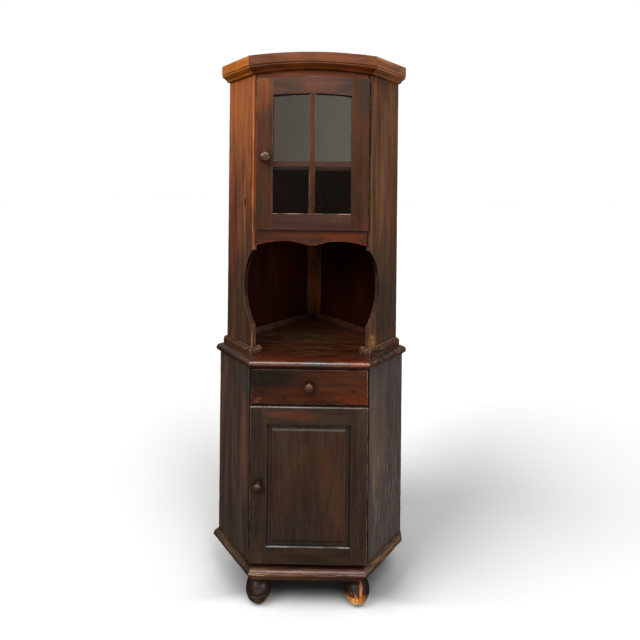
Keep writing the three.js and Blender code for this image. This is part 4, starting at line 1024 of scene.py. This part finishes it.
for k, node in enumerate(("upper_door_knob", "lower_door_knob", "drawer_knob")):
    lo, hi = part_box(node)
    half = (hi[0] - lo[0]) / 2
    prof = [(r * half / 0.017, h) for r, h in curve(KNOB, 3)]
    place = Matrix.Translation(((lo[0] + hi[0]) / 2, hi[1], (lo[2] + hi[2]) / 2)) @ Matrix.Rotation(math.radians(90), 4, "X")
    lathe(node + "_turned", prof, 48, place, MAT["knob"], node, worn=knob_worn, dent=0.0003, seed=9 + k)


# ---- putty that holds the glass, run round the rebate behind it
def putty_bead(name, path, seed):
    """A bead of triangular section along a closed path of (x, z); it lies against the rebate's edge."""
    bm = bmesh.new()
    cx = sum(p[0] for p in path) / len(path)
    cz = sum(p[1] for p in path) / len(path)
    n = len(path)
    loops = []
    rnd = Vector((seed, seed * 0.7, 0.3))
    for i, (x, z) in enumerate(path):
        ax, az = path[i - 1]
        bx, bz = path[(i + 1) % n]
        t = Vector((bx - ax, bz - az)).normalized()
        inn = Vector((-t.y, t.x))
        if inn.dot(Vector((cx - x, cz - z))) < 0:
            inn = -inn
        w = 0.0068 + 0.0012 * noise.noise(Vector((x * 40, z * 40, 0)) + rnd)
        h = 0.0036 + 0.0004 * noise.noise(Vector((x * 30, z * 30, 5)) + rnd)
        prof = [(0.0003, -0.1707), (0.0003, -0.1707 + h), (0.0020, -0.1707 + h * 0.85), (w * 0.6, -0.1707 + h * 0.5),
                (w, -0.1707 + 0.0004), (w - 0.0004, -0.1707)]
        loops.append([bm.verts.new((x + inn.x * d, y, z + inn.y * d)) for d, y in prof])
    m = len(loops[0])
    for i in range(n):
        a, b = loops[i], loops[(i + 1) % n]
        for k in range(m):
            j = (k + 1) % m
            bm.faces.new((a[k], a[j], b[j], b[k]))
    bmesh.ops.recalc_face_normals(bm, faces=bm.faces)
    ob = link(name, bm, MAT["putty"])
    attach(ob, "upper_door")
    return ob


def rebate_path(x0, x1, z0, z1, rise, step=0.012):
    def run(a, b):
        n = max(2, int(math.dist(a, b) / step))
        return [(a[0] + (b[0] - a[0]) * k / n, a[1] + (b[1] - a[1]) * k / n) for k in range(n)]
    top = []
    n = int((x1 - x0) / step)
    for k in range(n):
        t = k / n
        x = x1 + (x0 - x1) * t
        top.append((x, z1 + rise * (1 - (2 * t - 1) ** 2)))
    return run((x0, z0), (x1, z0)) + run((x1, z0), (x1, z1)) + top + run((x0, z1), (x0, z0))


putty_bead("pane_putty", rebate_path(-0.1474, 0.1502, 1.3462, 1.7840, 0.0085), 4.0)


for node, ob in NODES.items():
    if node in BOARDS or "knob" in node or "foot" in node:
        continue
    ob.data.materials.clear()
    ob.data.materials.append(MAT["brass"] if "leaf" in node else MAT["glass"])

# ----------------------------------------------------------------------------------------------- stage
view = bpy.context.scene.view_settings
view.view_transform = "Standard"

floor_bm = bmesh.new()
bmesh.ops.create_grid(floor_bm, x_segments=4, y_segments=4, size=30.0)
bmesh.ops.translate(floor_bm, verts=floor_bm.verts, vec=(0, 24.0, 0))     # it ends in front where the panes don't mirror it
fm, g = material("stage_white")
p = g.node("ShaderNodeBsdfPrincipled")
# painted shadow: the floor darkens near the object by ambient occlusion, but not in front of it
painted_floor_shadow = g.smooth(g.ao(1.10, samples=8), 0.0, 1.0, 0.62, 1.0, kind="LINEAR")
painted_floor_shadow = g.mul(painted_floor_shadow, g.smooth(g.ao(0.22, samples=8), 0.3, 0.97, 0.52, 1.0, kind="LINEAR"))
xyz = g.node("ShaderNodeSeparateXYZ")
g.put(xyz.inputs[0], g.node("ShaderNodeTexCoord").outputs["Object"])
painted_floor_shadow = g.maxi(painted_floor_shadow, g.smooth(xyz.outputs[1], -0.13, -0.23))
g.put(p.inputs["Base Color"], g.vec("SCALE", (0.486, 0.486, 0.486), painted_floor_shadow))
p.inputs["Roughness"].default_value = 0.9
p.inputs["Specular IOR Level"].default_value = 0.0
g.links.new(p.outputs[0], g.node("ShaderNodeOutputMaterial").inputs[0])
floor = link("stage_floor", floor_bm, fm, smooth=False)
floor.location = (0, 0, -0.0005)
floor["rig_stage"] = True
floor.visible_glossy = floor.visible_diffuse = False

only_floor = bpy.data.collections.new("only_floor")
bpy.context.scene.collection.children.link(only_floor)
bpy.context.scene.collection.objects.unlink(floor)
only_floor.objects.link(floor)
only_object = bpy.data.collections.new("only_object")
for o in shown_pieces():
    only_object.objects.link(o)


def lamp(name, kind, where, at, power, colour=(1, 1, 1), to=None, **props):
    d = bpy.data.lights.new(name, kind)
    d.energy = power
    d.color = colour
    for k, v in props.items():
        setattr(d, k, v)
    o = bpy.data.objects.new(name, d)
    bpy.context.scene.collection.objects.link(o)
    o.location = where
    o.rotation_mode = "QUATERNION"
    o.rotation_quaternion = (Vector(at) - Vector(where)).to_track_quat("-Z", "Y")
    if to is not None:
        o.light_linking.receiver_collection = to
    return o


# light on the floor alone: two wide suns, so that the shadow falls softly behind and to the right
lamp("floor_sun_left", "SUN", (-0.90, -0.40, 1.15), (0, 0, 0), 4.3, to=only_floor, angle=math.radians(33))
lamp("floor_sun_right", "SUN", (0.35, -0.50, 1.15), (0, 0, 0), 2.75, to=only_floor, angle=math.radians(31))
# light on the object
lamp("key", "AREA", (-1.7, -2.1, 2.9), (0, -0.1, 1.0), 60, (1.0, 0.95, 0.88), to=only_object,
     shape="RECTANGLE", size=1.6, size_y=1.4)
lamp("fill", "AREA", (2.2, -2.1, 1.5), (0, -0.1, 0.8), 48, (1.0, 0.97, 0.94), to=only_object,
     shape="RECTANGLE", size=1.6, size_y=2.0)
lamp("low_front", "AREA", (-0.3, -2.9, 0.55), (0, -0.1, 0.5), 13, (1.0, 0.98, 0.96), to=only_object,
     shape="RECTANGLE", size=2.4, size_y=0.9)
lamp("ceiling", "AREA", (0.1, -1.3, 3.1), (0, -0.3, 0.9), 26, (0.96, 0.98, 1.0), to=only_object,
     shape="RECTANGLE", size=1.8, size_y=0.7)
lamp("top_left", "AREA", (-1.25, -0.75, 2.45), (-0.25, -0.1, 1.75), 3.5, (1.0, 0.86, 0.68), to=only_object,
     shape="RECTANGLE", size=0.5, size_y=0.5)
# what the floor throws back on the feet
feet = bpy.data.collections.new("feet")
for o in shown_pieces():
    if o.name.startswith("foot"):
        feet.objects.link(o)
lamp("floor_bounce", "AREA", (0.10, -0.95, 0.02), (0.05, -0.2, 0.05), 1.3, (1.0, 0.98, 0.95), to=feet,
     shape="RECTANGLE", size=0.9, size_y=0.25)
# weak light behind, on the two wall sides
walls = bpy.data.collections.new("walls")
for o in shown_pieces():
    if "back" in o.name or "_side_" in o.name or o.name.startswith(("top_board", "cornice")):
        walls.objects.link(o)
for side in (-1, 1):
    lamp("behind_%s" % ("left" if side < 0 else "right"), "AREA", (side * 1.5, 2.3, 2.0), (side * 0.15, 0.15, 0.9), 34,
         (1.0, 0.98, 0.95), to=walls, shape="RECTANGLE", size=1.4, size_y=1.6)

world = bpy.data.worlds.new("studio")
bpy.context.scene.world = world
world.use_nodes = True
g = Graph(world.node_tree)
path = g.node("ShaderNodeLightPath")
up_z = g.node("ShaderNodeSeparateXYZ")
g.put(up_z.inputs[0], g.node("ShaderNodeTexCoord").outputs["Generated"])
level = g.ramp(g.madd(up_z.outputs[2], 0.5, 0.5), [(0.30, (0.035, 0.025, 0.018, 1)), (0.53, (0.10, 0.085, 0.07, 1)),
                                                   (0.95, (0.48, 0.48, 0.48, 1))], "LINEAR")
soft = g.node("ShaderNodeBackground")
g.put(soft.inputs["Color"], level)
soft.inputs["Strength"].default_value = 1.0
white = g.node("ShaderNodeBackground")
white.inputs["Color"].default_value = (1, 1, 1, 1)
white.inputs["Strength"].default_value = 1.0
mx = g.node("ShaderNodeMixShader")
bounced = g.add(path.outputs["Glossy Depth"], path.outputs["Diffuse Depth"])
through = g.mul(path.outputs["Is Transmission Ray"], g.math("LESS_THAN", bounced, 0.5))    # seen straight through the glass
g.put(mx.inputs[0], g.maxi(path.outputs["Is Camera Ray"], through))
g.links.new(soft.outputs[0], mx.inputs[1])
g.links.new(white.outputs[0], mx.inputs[2])
g.links.new(mx.outputs[0], g.node("ShaderNodeOutputWorld").inputs[0])

# a soft card behind the camera, which only mirrors see: the glass and the polish take it up
card_bm = bmesh.new()
bmesh.ops.create_grid(card_bm, x_segments=2, y_segments=2, size=1.0)
cm, g = material("soft_card")
across = g.node("ShaderNodeSeparateXYZ")
g.put(across.inputs[0], g.node("ShaderNodeTexCoord").outputs["Object"])
glow = g.ramp(g.madd(across.outputs[0], 0.5, 0.5), [(0.25, (0.80, 0.70, 0.56, 1)), (0.60, (1.38, 1.29, 1.12, 1))], "LINEAR")
em = g.node("ShaderNodeEmission")
g.put(em.inputs["Color"], glow)
em.inputs["Strength"].default_value = 1.0
g.links.new(em.outputs[0], g.node("ShaderNodeOutputMaterial").inputs[0])
card = link("soft_card", card_bm, cm, smooth=False)
card.matrix_world = Matrix.Translation((-0.1, -3.0, 2.60)) @ Matrix.Rotation(math.radians(90), 4, "X") @ Matrix.Diagonal((1.6, 0.87, 1, 1))
card.visible_camera = card.visible_diffuse = card.visible_shadow = False
card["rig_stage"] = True

over_bm = bmesh.new()
bmesh.ops.create_grid(over_bm, x_segments=2, y_segments=2, size=1.0)
om, g = material("over_card")
em = g.node("ShaderNodeEmission")
em.inputs["Color"].default_value = (0.92, 0.96, 1.0, 1)
em.inputs["Strength"].default_value = 14.0
g.links.new(em.outputs[0], g.node("ShaderNodeOutputMaterial").inputs[0])
over = link("over_card", over_bm, om, smooth=False)
over.matrix_world = Matrix.Translation((0.0, -1.2, 3.3)) @ Matrix.Rotation(math.radians(24), 4, "X") @ Matrix.Diagonal((0.9, 0.35, 1, 1))
over.visible_camera = over.visible_diffuse = over.visible_shadow = over.visible_transmission = False
over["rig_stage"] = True

# ----------------------------------------------------------------------------------------------- sizes
lo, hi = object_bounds()
